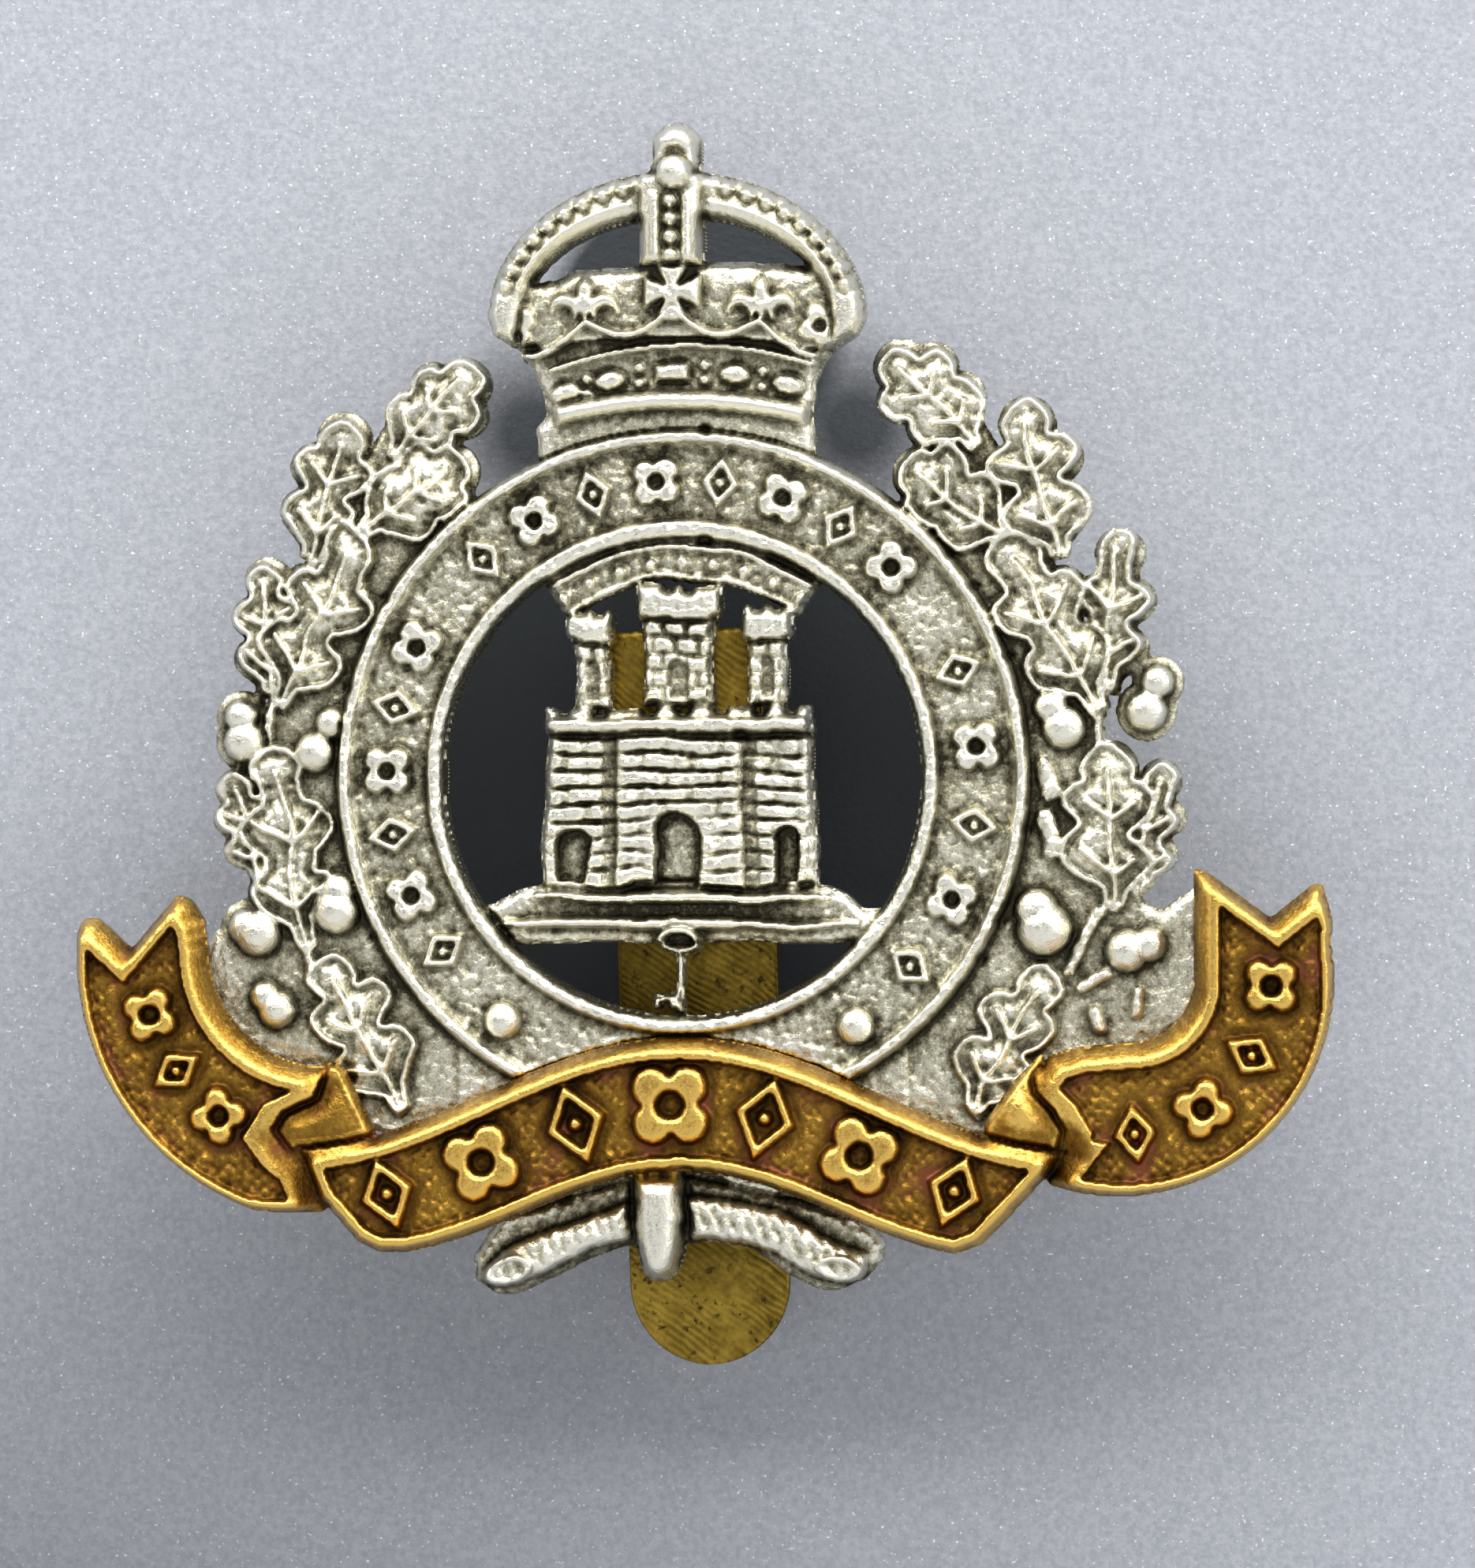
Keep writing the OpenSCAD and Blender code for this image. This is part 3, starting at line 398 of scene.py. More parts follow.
def stalks(relief):
    """The crossed stalks below the ribbon, with ribbed bark and cut ends, and their tie."""
    web = plain("scroll_web")
    relief = over(relief, web, SHEET + 0.02 * pits)
    rib = 0.5
    core = 1.3
    cut_end = 1.7
    for side in ("left", "right"):
        stalk = node_height("stalk_" + side, 0.4)
        round_back = shoulder(inside_distance(stalk > 0, 0.5), 0.5)
        relief = over(relief, stalk, 0.55 + 0.35 * round_back + 0.03 * pits)
        bark = 1.5 + 0.12 * np.sin(2 * math.pi * (grid_x + 0.4 * grid_z) / rib)
        relief = lay(relief, np.minimum(stalk, cut_end), core, 0.45, bark)
        relief = lay(relief, stalk, cut_end, 0.12)
    tie = plain("tie_band")
    round_back = shoulder(inside_distance(tie > 0, 0.7), 0.7)
    relief = over(relief, tie, SHEET + 0.6 * round_back)
    return lay(relief, tie, 1.2, 0.7, 0.85)


WHITE_PIECES = {
    "crown_struck": [
        "crown_arch_left", "crown_arch_right", "crown_arch_centre", "crown_pearls", "crown_cap",
        "crown_fleurs", "crown_cross_pattee", "crown_ridge", "crown_band", "crown_jewels",
        "crown_foot", "crown_orb", "crown_cross"],
    "circlet_struck": ["circlet", "circlet_ornaments", "circlet_pellets"],
    "castle_struck": [
        "castle_wall", "castle_battlement", "castle_tower_left", "castle_tower_centre",
        "castle_tower_right", "castle_rock", "castle_label", "label_ornaments", "key"],
    "wreath_left_struck": ["wreath_back_left", "leaves_left", "acorns_left", "twigs_left"],
    "wreath_right_struck": ["wreath_back_right", "leaves_right", "acorns_right", "twigs_right"],
    "stalks_struck": ["scroll_web", "stalk_left", "stalk_right", "tie_band"],
}
BRASS_PIECES = {
    "scroll_centre_struck": ["scroll_centre", "scroll_borders", "scroll_ornaments_centre"],
    "scroll_left_struck": ["scroll_left", "scroll_fold_left", "scroll_ornaments_left"],
    "scroll_right_struck": ["scroll_right", "scroll_fold_right", "scroll_ornaments_right"],
}


def roll_edges(relief, back, radius, edge_share):
    """Rounds the relief over towards its outline."""
    outline = inside_distance(relief > 0, radius)
    edge = back + edge_share * (relief - back)
    return np.where(relief > 0, edge + (relief - edge) * shoulder(outline, radius), 0)


def soften(relief, size):
    """Blurs a relief without dragging it down along its outline."""
    inside = (relief > 0).astype(float)
    weight = np.maximum(blur(inside, size), 1e-3)
    return np.where(relief > 0, blur(relief, size) / weight, 0)


def white_relief():
    """The whole front of the white-metal sheet."""
    relief = np.zeros(grid_x.shape)
    relief = wreath(relief, "left")
    relief = wreath(relief, "right")
    relief = circlet(relief)
    relief = castle(relief)
    relief = stalks(relief)
    relief = crown(relief)
    return roll_edges(soften(relief, 0.045), 0, 0.4, 0.5)


# ---- Gilding metal: the ribbon scroll ----

SCROLL_BACK = 0.9
SCROLL_EDGE = 1.2
SCROLL_FIELD = 1.9
SCROLL_CREST = 2.4


def ribbon(relief, name, ornaments, borders, whole):
    """One stretch of the ribbon: a bevelled edge, a round crest, and a stippled field.

    whole is the outline that the bevel goes down to; the stretches that it joins are in it too.
    """
    widest = 1.6
    outline = plain(name) > 0
    crest = (borders > SCROLL_CREST - 0.1) & outline
    edge_side = spread(~outline, outline & ~crest, round(widest / CELL) + 1) & outline
    to_outline = inside_distance(whole, widest)
    to_crest = inside_distance(edge_side | ~outline, widest)
    share = to_outline / np.maximum(to_outline + to_crest, CELL)
    profile = 0.5 * share + 0.5 * np.sqrt(np.clip(1 - (1 - share) ** 2, 0, 1))
    bevel = SCROLL_EDGE + (SCROLL_CREST - SCROLL_EDGE) * profile
    top = SCROLL_CREST - 0.16 + 0.16 * shoulder(inside_distance(crest, 0.22), 0.22)
    work = plain(ornaments)
    off_work = inside_distance(work <= 0, 0.6)
    stipple_rate = 14  # radians for each mm
    rows = np.sin(stipple_rate * grid_x + 0.6 * waves)
    stipple = 0.06 * rows * np.sin(stipple_rate * grid_z + 0.6 * pits)
    field = SCROLL_FIELD - 0.05 * (1 - smooth_step(off_work, 0.15, 0.45))
    field = field + (stipple + 0.03 * pits) * smooth_step(off_work, 0.3, 0.5)
    here = np.where(edge_side, bevel, np.where(crest, top, field))
    here = np.where(work > 0, field + 0.62 * shoulder(inside_distance(work > 0, 0.3), 0.3), here)
    return np.where(outline, here, relief)


def fold(relief, name):
    """A short stretch of ribbon that turns back behind the middle one."""
    turned = plain(name)
    distance = inside_distance(turned > 0, 1.0)
    here = 1.3 + 0.85 * shoulder(distance, 1.0) + 0.15 * ridge(distance, 0.2, 0.15) + 0.12 * waves
    return np.where(turned > 0, here, relief)


def brass_relief():
    """The whole front of the scroll; its two ends dive behind the middle ribbon."""
    borders = plain("scroll_borders")
    relief = np.zeros(grid_x.shape)
    centre = plain("scroll_centre") > 0
    near_folds = centre | (plain("scroll_fold_left") > 0) | (plain("scroll_fold_right") > 0)
    whole = near_folds | (plain("scroll_left") > 0) | (plain("scroll_right") > 0)
    behind = 1 - smooth_step(inside_distance(~centre, 1.4), 0, 1.4)
    for part in ("left", "right"):
        relief = ribbon(relief, "scroll_" + part, "scroll_ornaments_" + part, borders, whole)
    relief = np.where(relief > 0, relief - 0.55 * behind, 0)
    relief = fold(relief, "scroll_fold_left")
    relief = fold(relief, "scroll_fold_right")
    relief = ribbon(relief, "scroll_centre", "scroll_ornaments_centre", borders, near_folds)
    return roll_edges(soften(relief, 0.05), SCROLL_BACK, 0.25, 0.5)


# ---- From a relief to closed shells ----


def hollow(relief, back, thickness, share):
    """Height of the back, which follows the front's high places from behind."""
    inside = relief > 0
    high = soften(relief, 0.4) - back - thickness
    depth = share * np.clip(high, 0, None) * smooth_step(inside_distance(inside, 0.7), 0.1, 0.7)
    return back + blur(depth, 0.12)


def quads_inside(relief):
    """For every grid square, whether it is inside the softened outline; also the outline's level."""
    level = blur((relief > 0).astype(float), 0.07) - 0.5
    middle = (level[1:, 1:] + level[1:, :-1] + level[:-1, 1:] + level[:-1, :-1]) / 4
    inside = middle > 0
    for _ in range(2):
        one = inside[:-1, :-1] & inside[1:, 1:] & ~inside[:-1, 1:] & ~inside[1:, :-1]
        other = inside[:-1, 1:] & inside[1:, :-1] & ~inside[:-1, :-1] & ~inside[1:, 1:]
        inside[:-1, 1:] |= one
        inside[:-1, :-1] |= other
    return inside, level


def snapped(inside, level):
    """Grid points with those along the outline moved onto it."""
    padded = np.pad(inside, 1)
    count = (padded[1:, 1:].astype(int) + padded[1:, :-1] + padded[:-1, 1:] + padded[:-1, :-1])
    on_outline = (count > 0) & (count < 4)
    slope_z, slope_x = np.gradient(level, CELL)
    steep = np.maximum(slope_x ** 2 + slope_z ** 2, 0.5)
    limit = 0.8 * CELL
    shift_x = np.where(on_outline, np.clip(-level * slope_x / steep, -limit, limit), 0)
    shift_z = np.where(on_outline, np.clip(-level * slope_z / steep, -limit, limit), 0)
    return grid_x + shift_x, grid_z + shift_z


def filled_out(relief):
    """The relief carried a little past its outline, so that edge points have a height."""
    wide = relief.copy()
    for _ in range(3):
        near = np.zeros(relief.shape)
        for axis in (0, 1):
            for step in (-1, 1):
                near = np.maximum(near, np.roll(wide, step, axis))
        wide = np.where(wide > 0, wide, near)
    return wide


def shares(pieces):
    """For every grid square, the number of the piece that it belongs to."""
    levels = []
    for nodes in pieces.values():
        mask = np.zeros(grid_x.shape)
        for name in nodes:
            mask = np.maximum(mask, outline_of[name])
        levels.append(blur(mask, 0.07))
    owner = np.argmax(np.array(levels), axis=0)
    return owner[:-1, :-1]


def back_faces(mine, point):
    """Faces of the back: blocks of four squares are joined where no edge is near."""
    rows = mine.shape[0] // 2 * 2
    columns = mine.shape[1] // 2 * 2
    block = mine[:rows:2, :columns:2] & mine[1:rows:2, :columns:2]
    block &= mine[:rows:2, 1:columns:2] & mine[1:rows:2, 1:columns:2]
    padded = np.pad(block, 1)
    faces = []
    for r, c in zip(*np.nonzero(block)):
        z, x = 2 * r, 2 * c
        corners = [(z, x), (z, x + 2), (z + 2, x + 2), (z + 2, x)]
        middles = [(z, x + 1), (z + 1, x + 2), (z + 2, x + 1), (z + 1, x)]
        joined = [padded[r, c + 1], padded[r + 1, c + 2], padded[r + 2, c + 1], padded[r + 1, c]]
        loop = []
        for corner, middle, whole in zip(corners, middles, joined):
            loop.append(point[corner])
            if not whole:
                loop.append(point[middle])
        faces.append(loop[::-1])
    alone = mine.copy()
    alone[:rows, :columns] &= ~np.repeat(np.repeat(block, 2, 0), 2, 1)
    for z, x in zip(*np.nonzero(alone)):
        faces.append([point[z + 1, x], point[z + 1, x + 1], point[z, x + 1], point[z, x]])
    return faces


def wall_faces(mine, front, rear):
    """Faces that close a piece along its outline, from its front to its back."""
    padded = np.pad(mine, 1)
    sides = [
        (~padded[:-2, 1:-1], (0, 0), (0, 1)),
        (~padded[1:-1, 2:], (0, 1), (1, 1)),
        (~padded[2:, 1:-1], (1, 1), (1, 0)),
        (~padded[1:-1, :-2], (1, 0), (0, 0)),
    ]
    faces = []
    for open_side, start, end in sides:
        for z, x in zip(*np.nonzero(mine & open_side)):
            a = (z + start[0], x + start[1])
            b = (z + end[0], x + end[1])
            faces.append([front[b], front[a], rear[a], rear[b]])
    return faces


def touching(squares):
    """Grid points at a corner of any of these squares."""
    points = np.zeros(grid_x.shape, bool)
    for z in (0, 1):
        for x in (0, 1):
            points[z:z + squares.shape[0], x:x + squares.shape[1]] |= squares
    return points


def shell(name, mine, seam, place_x, place_z, relief, back, fields):
    """One closed shell from the grid squares in mine. fields are the values its material reads."""
    used = touching(mine)
    count = int(used.sum())
    front = np.full(grid_x.shape, -1)
    front[used] = np.arange(count)
    rear = np.where(used, front + count, -1)
    x, z = place_x[used], place_z[used]
    points = np.concatenate([
        np.stack([x, -relief[used], z], axis=1),
        np.stack([x, -back[used], z], axis=1)]) * MM
    at = np.argwhere(mine)
    r, c = at[:, 0], at[:, 1]
    faces = np.stack([front[r, c], front[r, c + 1], front[r + 1, c + 1], front[r + 1, c]], 1)
    faces = faces.tolist() + wall_faces(mine, front, rear) + back_faces(mine, rear)
    mesh = bpy.data.meshes.new(name)
    mesh.from_pydata(points.tolist(), [], faces)
    for label, values in fields.items():
        both = np.concatenate([values[used], np.zeros(count)])
        attribute = mesh.attributes.new(label, "FLOAT", "POINT")
        attribute.data.foreach_set("value", both.astype(np.float32))
    mesh.shade_smooth()
    mark_seams(mesh, front, seam)
    drop_loose(mesh)
    piece = bpy.data.objects.new(name, mesh)
    bpy.context.scene.collection.objects.link(piece)
    return piece


def mark_seams(mesh, front, seam):
    """Keeps the shading of a seam between two regions of one sheet as flat as the sheet is."""
    on_seam = np.zeros(len(mesh.vertices), bool)
    on_seam[front[seam & (front >= 0)]] = True
    ends = np.zeros(len(mesh.edges) * 2, np.int32)
    mesh.edges.foreach_get("vertices", ends)
    ends = ends.reshape(-1, 2)
    sharp = mesh.attributes.new("sharp_edge", "BOOLEAN", "EDGE")
    sharp.data.foreach_set("value", on_seam[ends[:, 0]] & on_seam[ends[:, 1]])


def drop_loose(mesh):
    """Deletes points that no face uses, such as those inside the joined squares of the back."""
    work = bmesh.new()
    work.from_mesh(mesh)
    loose = [v for v in work.verts if not v.link_faces]
    bmesh.ops.delete(work, geom=loose, context="VERTS")
    work.to_mesh(mesh)
    work.free()


def struck(pieces, relief, back, worn, material):
    """Cuts one relief into its pieces. worn says how much each place has been rubbed, 0 to 1."""
    inside, level = quads_inside(relief)
    place_x, place_z = snapped(inside, level)
    full = filled_out(relief)
    owner = shares(pieces)
    deepest = 0.16
    fields = {
        # hollow is how far each place lies below its surroundings; the materials paint patina and shade
        # into the recesses from it
        "hollow": np.clip((blur(full, 0.24) - full) / deepest, -1, 1),
        "worn": worn,
    }
    for number, (name, nodes) in enumerate(pieces.items()):
        mine = inside & (owner == number)
        others = inside & (owner != number)
        piece = shell(name, mine, touching(others), place_x, place_z, full, back, fields)
        piece.data.materials.append(material)
        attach(piece, "badge")
        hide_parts(*nodes)


# ---- The bent brass strip ----


def strip_stations(foot_low, foot_high, blade_low, blade_high):
    """Stations down the slider's strip, each as y, z and half width; the lows and highs are box corners."""
    half = (blade_high[0] - blade_low[0]) / 2
    thick = blade_high[1] - blade_low[1]
    blade_y = (blade_low[1] + blade_high[1]) / 2
    foot_y = foot_low[1] + thick / 2
    top, bend, tip = foot_high[2], foot_low[2], blade_low[2]
    bend_start = -0.3
    bend_drop = 2.1
    stations = [(foot_y, top - 0.02, half - 0.25), (foot_y, top - 0.25, half)]
    stations += [(foot_y, z, half) for z in np.linspace(top - 0.6, bend_start + 0.1, 14)]
    for share in np.linspace(0.06, 1, 14):
        ease = share * share * (3 - 2 * share)
        y = foot_y + (blade_y - foot_y) * ease
        stations.append((y, bend_start - bend_drop * share, half))
    stations += [(blade_y, z, half) for z in np.linspace(bend - 0.3, tip + half, 34)]
    for angle in np.radians(np.linspace(4, 86, 22)):
        across = half * math.cos(angle)
        down = half * math.sin(angle) ** 1.06
        stations.append((blade_y, tip + half - down, max(across, 0.15)))
    return stations


def strip_mesh(stations, thick, lean):
    """A strip with rounded edges through the stations, leaning by that angle."""
    corner = 0.16
    section = []
    for side, face, first in ((1, 1, 0), (-1, 1, 90), (-1, -1, 180), (1, -1, 270)):
        for angle in np.radians(first + np.array([0, 30, 60, 90])):
            section.append((side, face, math.cos(angle), math.sin(angle)))

    work = bmesh.new()
    rings = []
    for number, (y, z, width) in enumerate(stations):
        ahead = stations[min(number + 1, len(stations) - 1)]
        behind = stations[max(number - 1, 0)]
        run = Vector((ahead[0] - behind[0], ahead[1] - behind[1])).normalized()
        across_y, across_z = -run[1], run[0]
        ring = []
        for side, face, out_x, out_y in section:
            local_x = side * (width - corner) + corner * out_x
            local_n = face * (thick / 2 - corner) + corner * out_y
            px, py, pz = local_x, y + local_n * across_y, z + local_n * across_z
            x = px * math.cos(lean) - pz * math.sin(lean)
            height = px * math.sin(lean) + pz * math.cos(lean)
            ring.append(work.verts.new(Vector((x, py, height)) * MM))
        rings.append(ring)
    for one, other in zip(rings, rings[1:]):
        for i in range(len(section)):
            j = (i + 1) % len(section)
            work.faces.new([one[i], one[j], other[j], other[i]])
    work.faces.new(rings[0][::-1])
    work.faces.new(rings[-1])
    bmesh.ops.recalc_face_normals(work, faces=work.faces)
    mesh = bpy.data.meshes.new("slider_strip")
    work.to_mesh(mesh)
    work.free()
    mesh.shade_smooth()
    return mesh


def slider_strip(material):
    """Foot, bend and blade in one strip, leaning as the joint's axis does."""
    joint = frame["joints"][0]
    lean = math.atan2(joint["axis"][2], joint["axis"][0])
    turn = np.array([[math.cos(lean), math.sin(lean)], [-math.sin(lean), math.cos(lean)]])

    def upright_box(name):
        points = np.array([v.co for v in frame["nodes"][name].data.vertices]) / MM
        points[:, [0, 2]] = points[:, [0, 2]] @ turn.T
        return points.min(axis=0), points.max(axis=0)

    foot_low, foot_high = upright_box("slider_foot")
    blade_low, blade_high = upright_box("slider_blade")
    stations = strip_stations(foot_low, foot_high, blade_low, blade_high)
    mesh = strip_mesh(stations, blade_high[1] - blade_low[1], lean)
    mesh.materials.append(material)
    strip = bpy.data.objects.new("slider_strip", mesh)
    bpy.context.scene.collection.objects.link(strip)
    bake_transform(strip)
    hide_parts("slider_foot", "slider_blade")


def solder_bead(name, node, seed, material):
    """A run bead of solder: the CAD node's solid, rounded and made uneven."""
    bead = bpy.data.objects.new(name, frame["nodes"][node].data.copy())
    bpy.context.scene.collection.objects.link(bead)
    bpy.context.view_layer.objects.active = bead
    remesh = bead.modifiers.new("remesh", "REMESH")
    remesh.mode = "VOXEL"
    remesh.voxel_size = 0.05 * MM
    soft = bead.modifiers.new("soft", "SMOOTH")
    soft.factor = 0.5
    soft.iterations = 12
    shown = bead.evaluated_get(bpy.context.evaluated_depsgraph_get())
    mesh = bpy.data.meshes.new_from_object(shown)
    bead.modifiers.clear()
    bead.data = mesh
    random = np.random.default_rng(seed)
    phase = random.uniform(0, 6.28, 3)
    for vertex in mesh.vertices:
        x, y, z = vertex.co / MM
        swell = math.sin(7 * x + phase[0]) * math.sin(6 * z + phase[1]) * math.sin(5 * y + phase[2])
        vertex.co += vertex.normal * 0.03 * swell * MM
    mesh.shade_smooth()
    mesh.materials.clear()
    mesh.materials.append(material)
    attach(bead, "badge")
    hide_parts(node)


# ---- Materials ----


class Nodes:
    """A short way to write a material's nodes. Values are numbers or sockets."""

    def __init__(self, name):
        self.material = bpy.data.materials.new(name)
        self.material.use_nodes = True
        self.tree = self.material.node_tree
        self.shader = self.tree.nodes["Principled BSDF"]
        self.place = self.tree.nodes.new("ShaderNodeTexCoord").outputs["Object"]

    def link(self, value, socket):
        if isinstance(value, bpy.types.NodeSocket):
            self.tree.links.new(value, socket)
        else:
            socket.default_value = value

    def noise(self, per_mm, detail=3.0, stretch=(1, 1, 1), rough=0.55):
        mapping = self.tree.nodes.new("ShaderNodeMapping")
        mapping.inputs["Scale"].default_value = [per_mm * s / MM for s in stretch]
        self.link(self.place, mapping.inputs["Vector"])
        node = self.tree.nodes.new("ShaderNodeTexNoise")
        node.inputs["Scale"].default_value = 1
        node.inputs["Detail"].default_value = detail
        node.inputs["Roughness"].default_value = rough
        self.link(mapping.outputs["Vector"], node.inputs["Vector"])
        return node.outputs["Fac"]

    def spot(self, point, inner, outer):
        """1 within inner mm of a point, and 0 beyond outer."""
        node = self.tree.nodes.new("ShaderNodeVectorMath")
        node.operation = "DISTANCE"
        self.link(self.place, node.inputs[0])
        node.inputs[1].default_value = point
        return self.span(node.outputs["Value"], inner * MM, outer * MM, 1, 0)

    def wave(self, per_mm, turn, bend):
        """Lines about 1 / per_mm apart, turned by that many degrees and bent."""
        mapping = self.tree.nodes.new("ShaderNodeMapping")
        mapping.inputs["Rotation"].default_value = (0, math.radians(turn), 0)
        mapping.inputs["Scale"].default_value = [per_mm / MM] * 3
        self.link(self.place, mapping.inputs["Vector"])
        node = self.tree.nodes.new("ShaderNodeTexWave")
        node.inputs["Scale"].default_value = 0.31
        node.inputs["Distortion"].default_value = bend
        node.inputs["Detail"].default_value = 2
        node.inputs["Detail Scale"].default_value = 0.3
        self.link(mapping.outputs["Vector"], node.inputs["Vector"])
        return node.outputs["Fac"]

    def field(self, name):
        """A value that the mesh carries at its points."""
        node = self.tree.nodes.new("ShaderNodeAttribute")
        node.attribute_name = name
        return node.outputs["Fac"]

    def math(self, kind, a, b=0.0, clamp=False):
        node = self.tree.nodes.new("ShaderNodeMath")
        node.operation = kind
        node.use_clamp = clamp
        self.link(a, node.inputs[0])
        self.link(b, node.inputs[1])
        return node.outputs[0]

    def weigh(self, start, *terms):
        """start plus each value times its weight."""
        total = start
        for value, weight in terms:
            total = self.math("ADD", self.math("MULTIPLY", value, weight), total)
        return total

    def ramp(self, value, stops):
        """A colour for the value, from stops that each give a place from 0 to 1 and a colour."""
        node = self.tree.nodes.new("ShaderNodeValToRGB")
        stripe = node.color_ramp
        for number, (at, colour) in enumerate(stops):
            stop = stripe.elements[number] if number < 2 else stripe.elements.new(at)
            stop.position = at
            stop.color = (*colour, 1)
        self.link(value, node.inputs["Fac"])
        return node.outputs["Color"]

    def mix(self, share, one, other):
        node = self.tree.nodes.new("ShaderNodeMix")
        node.data_type = "RGBA"
        self.link(share, node.inputs[0])
        for socket, value in ((node.inputs[6], one), (node.inputs[7], other)):
            if isinstance(value, tuple):
                socket.default_value = (*value, 1)
            else:
                self.link(value, socket)
        return node.outputs[2]

    def span(self, value, low, high, to_low=0.0, to_high=1.0):
        """The value's stretch from low to high, mapped to another stretch."""
        node = self.tree.nodes.new("ShaderNodeMapRange")
        for socket, number in zip(node.inputs[1:5], (low, high, to_low, to_high)):
            socket.default_value = number
        self.link(value, node.inputs[0])
        return node.outputs[0]

    def bump(self, height, distance_mm, strength=1.0):
        node = self.tree.nodes.new("ShaderNodeBump")
        node.inputs["Strength"].default_value = strength
        node.inputs["Distance"].default_value = distance_mm * MM
        self.link(height, node.inputs["Height"])
        self.tree.links.new(node.outputs["Normal"], self.shader.inputs["Normal"])

    def finish(self, colour, rough, metallic=1.0):
        self.link(colour, self.shader.inputs["Base Color"])
        self.link(rough, self.shader.inputs["Roughness"])
        self.shader.inputs["Metallic"].default_value = metallic
        return self.material


def white_metal():
    """Nickel silver: rubbed bright on the high places, warm grey between, and dark in the hollows with
    patina and painted shade.
    """
    n = Nodes("white_metal")
    broad = n.noise(0.35)
    fine = n.noise(5.0, 4, rough=0.7)
    speck = n.noise(12.0, 2)
    # Painted shade: the hollow field darkens the recesses as patina and as the shade that falls in them,
    # and lightens the ridges; the noises add patina at random
    dirt_and_painted_shade = n.weigh(-0.41, (n.field("hollow"), 0.52), (n.field("worn"), -0.24),
                   (broad, 0.45), (fine, 0.75), (speck, 0.55))
    colour = n.ramp(dirt_and_painted_shade, [
        (0.12, (0.86, 0.83, 0.70)), (0.36, (0.62, 0.59, 0.45)),
        (0.62, (0.26, 0.24, 0.16)), (0.95, (0.04, 0.035, 0.022))])
    rough = n.span(dirt_and_painted_shade, 0.1, 0.8, 0.14, 0.45)
    n.bump(fine, 0.06, 0.9)
    return n.finish(colour, rough)


def gilding_metal():
    """Rubbed gold on the raised lines, brown and reddish patina in the field, and patina with painted shade
    in the hollows.
    """
    n = Nodes("gilding_metal")
    broad = n.noise(0.3)
    fine = n.noise(5.0, 4, rough=0.7)
    # Painted shade: the hollow field darkens the recesses as patina and as the shade that falls in them
    dirt_and_painted_shade = n.weigh(-0.1, (n.field("hollow"), 0.36), (n.field("worn"), -0.24),
                   (broad, 0.5), (fine, 0.65))
    gold = n.ramp(dirt_and_painted_shade, [
        (0.05, (0.80, 0.51, 0.12)), (0.3, (0.36, 0.20, 0.03)),
        (0.6, (0.16, 0.077, 0.012)), (0.9, (0.03, 0.016, 0.005))])
    red = n.span(n.noise(0.5, 2), 0.54, 0.7)
    red = n.math("MULTIPLY", red, n.span(dirt_and_painted_shade, 0.35, 0.6))
    colour = n.mix(red, gold, (0.22, 0.075, 0.035))
    rough = n.span(dirt_and_painted_shade, 0.1, 0.8, 0.18, 0.45)
    n.bump(fine, 0.06, 0.8)
    return n.finish(colour, rough)


def slider_brass():
    """Dull olive brass with curved file marks and specks of tarnish."""
    n = Nodes("slider_brass")
    broad = n.noise(0.25)
    mottle = n.noise(2.5, 4, rough=0.65)
    lines = n.math("MULTIPLY", n.wave(4.2, 55, 9.0), n.span(n.noise(0.6), 0.35, 0.65))
    specks = n.span(n.noise(3.0, 3), 0.6, 0.7)
    tone = n.weigh(-0.1, (broad, 0.6), (mottle, 0.5), (lines, 0.16))
    colour = n.ramp(tone, [
        (0.3, (0.42, 0.275, 0.043)), (0.55, (0.19, 0.125, 0.019)), (0.85, (0.055, 0.036, 0.007))])
    colour = n.mix(specks, colour, (0.06, 0.04, 0.012))
    rough = n.span(tone, 0.3, 0.8, 0.32, 0.55)
    n.bump(n.weigh(0.0, (lines, 0.6), (mottle, 1.0)), 0.04, 0.7)
    return n.finish(colour, rough)


def solder():
    """Dull grey solder."""
    n = Nodes("solder")
    broad = n.noise(0.8)
    colour = n.ramp(broad, [(0.3, (0.44, 0.42, 0.38)), (0.7, (0.16, 0.15, 0.13))])
    n.bump(n.noise(3.0), 0.03, 0.6)
    return n.finish(colour, n.span(broad, 0.3, 0.7, 0.35, 0.6))


# ---- Making the pieces ----

brass_front = brass_relief()
white_front = white_relief()
white_worn = smooth_step(white_front - soften(white_front, 0.8), -0.3, 0.3)
# The cut stalks are duller than the rest
white_worn = white_worn - 0.6 * blur(outline_of["stalk_left"] + outline_of["stalk_right"], 0.2)
brass_worn = smooth_step(blur(filled_out(brass_front), 0.05), SCROLL_FIELD + 0.2, SCROLL_CREST)
struck(WHITE_PIECES, white_front, hollow(white_front, 0, 1.0, 0.75), white_worn,
       white_metal())
struck(BRASS_PIECES, brass_front, hollow(brass_front, SCROLL_BACK, 0.8, 0.7), brass_worn,
       gilding_metal())
slider_strip(slider_brass())
solder_material = solder()
solder_bead("braze_beads", "slider_braze", 1, solder_material)
solder_bead("solder_bead_left", "scroll_solder_left", 2, solder_material)
solder_bead("solder_bead_right", "scroll_solder_right", 3, solder_material)

# ---- Stage, light and camera ----

# The camera sees this much, in metres, across the longer side of the picture
FRAME_HEIGHT = 0.0570
FRAME_MIDDLE = Vector((0.00206, -0.0015, -0.00026))
CAMERA_AZIMUTH = math.radians(5)
CAMERA_DISTANCE = 0.32
SENSOR = 36.0
# The card that the badge lies on is clear of the slider even when it is bent back
CARD_Y = cad_box[1].y + 0.0025
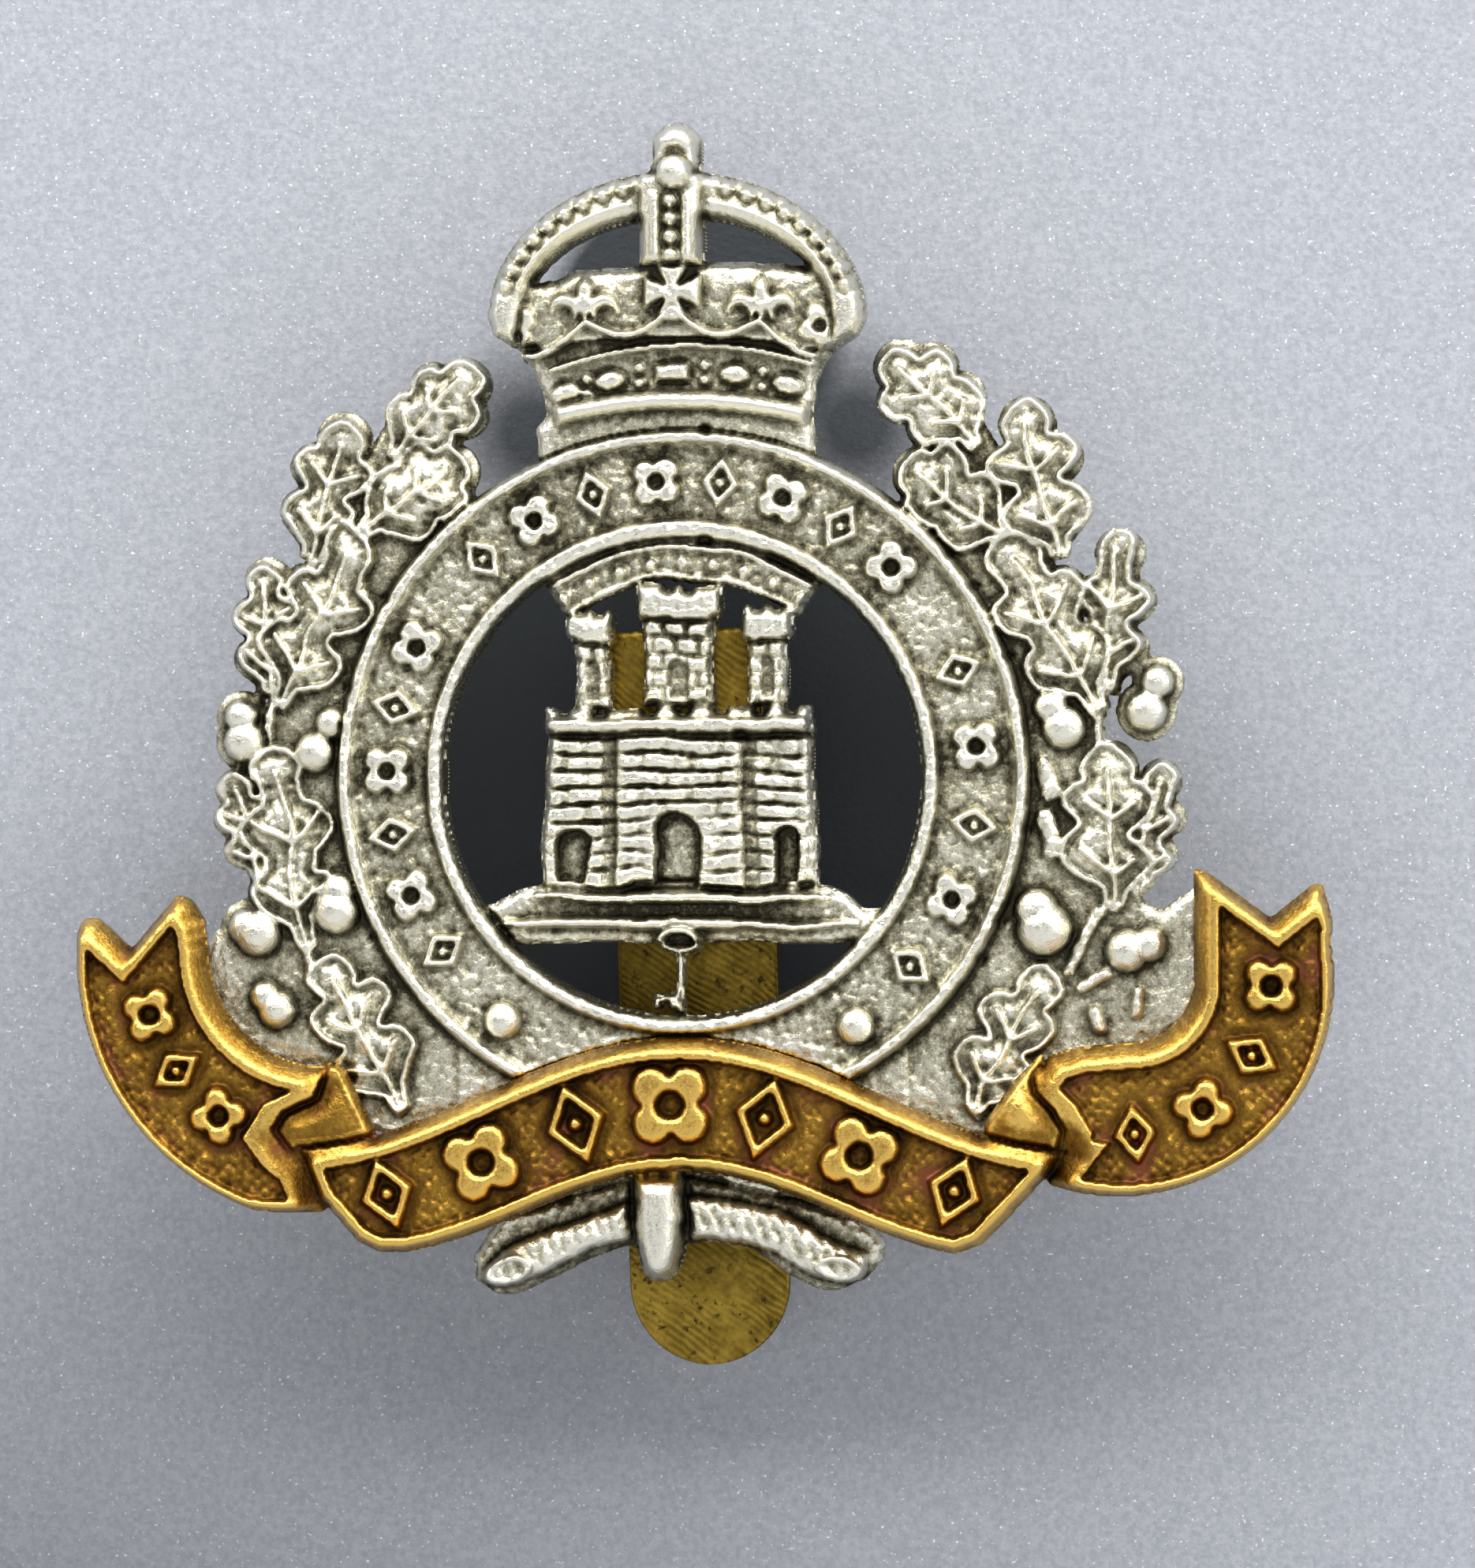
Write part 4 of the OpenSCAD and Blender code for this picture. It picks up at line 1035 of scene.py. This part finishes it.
# Shade on the card: deep under the badge's openings and between crown and wreath, light in a corner.
# Each circle has the x and z of its middle, an inner and an outer radius, and a depth.
CARD_SHADE = [
    (0, 0, 10.9, 12.4, 0.985),
    (-0.2, 16.5, 5, 6, 0.97),
    (-6.2, 12.8, 1, 4, 0.9),
    (5.9, 13, 1, 4, 0.9),
    (-30, -34, 4, 36, 0.5),
]
SHADE = (0.022, 0.027, 0.031)


def flat_sheet(name, corners, material):
    """One flat face of the stage."""
    mesh = bpy.data.meshes.new(name)
    mesh.from_pydata(corners, [], [[0, 1, 2, 3]])
    mesh.materials.append(material)
    sheet = bpy.data.objects.new(name, mesh)
    bpy.context.scene.collection.objects.link(sheet)
    sheet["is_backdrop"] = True


def card_material():
    """Pale blue-grey card with a fine grain; from behind it lets everything through."""
    n = Nodes("card")
    speck = n.noise(4.5, 2)
    spark = n.span(n.noise(7.0, 1), 0.68, 0.8)
    tone = n.ramp(speck, [(0.3, (0.36, 0.375, 0.41)), (0.7, (0.47, 0.485, 0.52))])
    tone = n.mix(spark, tone, (0.9, 0.9, 0.92))
    for x, z, inner, outer, depth in CARD_SHADE:
        shaded = n.spot((x * MM, CARD_Y, z * MM), inner, outer)
        tone = n.mix(n.math("MULTIPLY", shaded, depth), tone, SHADE)
    n.bump(speck, 0.05, 0.5)
    material = n.finish(tone, 0.55, 0.0)
    clear = n.tree.nodes.new("ShaderNodeBsdfTransparent")
    choose = n.tree.nodes.new("ShaderNodeMixShader")
    side = n.tree.nodes.new("ShaderNodeNewGeometry")
    n.tree.links.new(side.outputs["Backfacing"], choose.inputs[0])
    n.tree.links.new(n.shader.outputs[0], choose.inputs[1])
    n.tree.links.new(clear.outputs[0], choose.inputs[2])
    n.tree.links.new(choose.outputs[0], n.tree.nodes["Material Output"].inputs["Surface"])
    return material


def floor_material():
    """Plain pale floor."""
    n = Nodes("floor")
    tone = n.ramp(n.noise(0.02), [(0.3, (0.40, 0.41, 0.43)), (0.7, (0.44, 0.45, 0.47))])
    return n.finish(tone, 0.7, 0.0)


def stage():
    """An upright card behind the badge, on a floor below it."""
    reach = 0.42
    floor_z = cad_box[0].z - 0.0085
    flat_sheet("card", [
        (-reach, CARD_Y, floor_z), (reach, CARD_Y, floor_z),
        (reach, CARD_Y, reach), (-reach, CARD_Y, reach)], card_material())
    flat_sheet("floor", [
        (-reach, -reach, floor_z), (reach, -reach, floor_z),
        (reach, reach, floor_z), (-reach, reach, floor_z)], floor_material())


def soft_light(name, place, size, radiance, lit=None):
    """A rectangular softbox that faces the badge; lit is the collection that it lights, or all."""
    data = bpy.data.lights.new(name, "AREA")
    data.shape = "RECTANGLE"
    data.size, data.size_y = size
    data.energy = radiance * math.pi * size[0] * size[1]
    light = bpy.data.objects.new(name, data)
    light.location = place
    light.rotation_euler = (-Vector(place)).to_track_quat("-Z", "Y").to_euler()
    light.light_linking.receiver_collection = lit
    bpy.context.scene.collection.objects.link(light)


def world():
    """A pale backdrop that lights the badge only faintly."""
    sky = bpy.data.worlds.new("studio")
    bpy.context.scene.world = sky
    sky.use_nodes = True
    tree = sky.node_tree
    seen = tree.nodes.new("ShaderNodeLightPath").outputs["Is Camera Ray"]
    strength = tree.nodes.new("ShaderNodeMapRange")
    strength.inputs["To Min"].default_value = 0.1
    strength.inputs["To Max"].default_value = 0.62
    tree.links.new(seen, strength.inputs["Value"])
    tree.links.new(strength.outputs["Result"], tree.nodes["Background"].inputs["Strength"])
    tree.nodes["Background"].inputs["Color"].default_value = (0.93, 0.96, 1.0, 1)


def camera():
    """A long lens a little to the right of the badge's axis."""
    data = bpy.data.cameras.new("camera")
    data.sensor_width = SENSOR
    data.lens = SENSOR * CAMERA_DISTANCE / FRAME_HEIGHT
    data.clip_start = 0.005
    eye = bpy.data.objects.new("camera", data)
    away = Vector((math.sin(CAMERA_AZIMUTH), -math.cos(CAMERA_AZIMUTH), 0))
    eye.location = FRAME_MIDDLE + CAMERA_DISTANCE * away
    eye.rotation_euler = (-away).to_track_quat("-Z", "Y").to_euler()
    bpy.context.scene.collection.objects.link(eye)
    bpy.context.scene.camera = eye


stage()
badge_only = bpy.data.collections.new("badge_only")
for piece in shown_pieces():
    badge_only.objects.link(piece)
soft_light("top_light", (0, -0.16, 0.31), (0.8, 0.26), 5.6)
soft_light("left_light", (-0.42, -0.15, 0.2), (0.25, 0.5), 1.0)
soft_light("right_light", (0.42, -0.17, -0.02), (0.25, 0.5), 2.8)
soft_light("front_light", (0.12, -0.5, 0.14), (0.5, 0.4), 0.8, lit=badge_only)
soft_light("back_light", (-0.1, 0.5, 0.25), (0.5, 0.5), 2.5)
world()
camera()
# Plain sRGB keeps the deep contrast of rubbed metal
bpy.context.scene.view_settings.view_transform = "Standard"
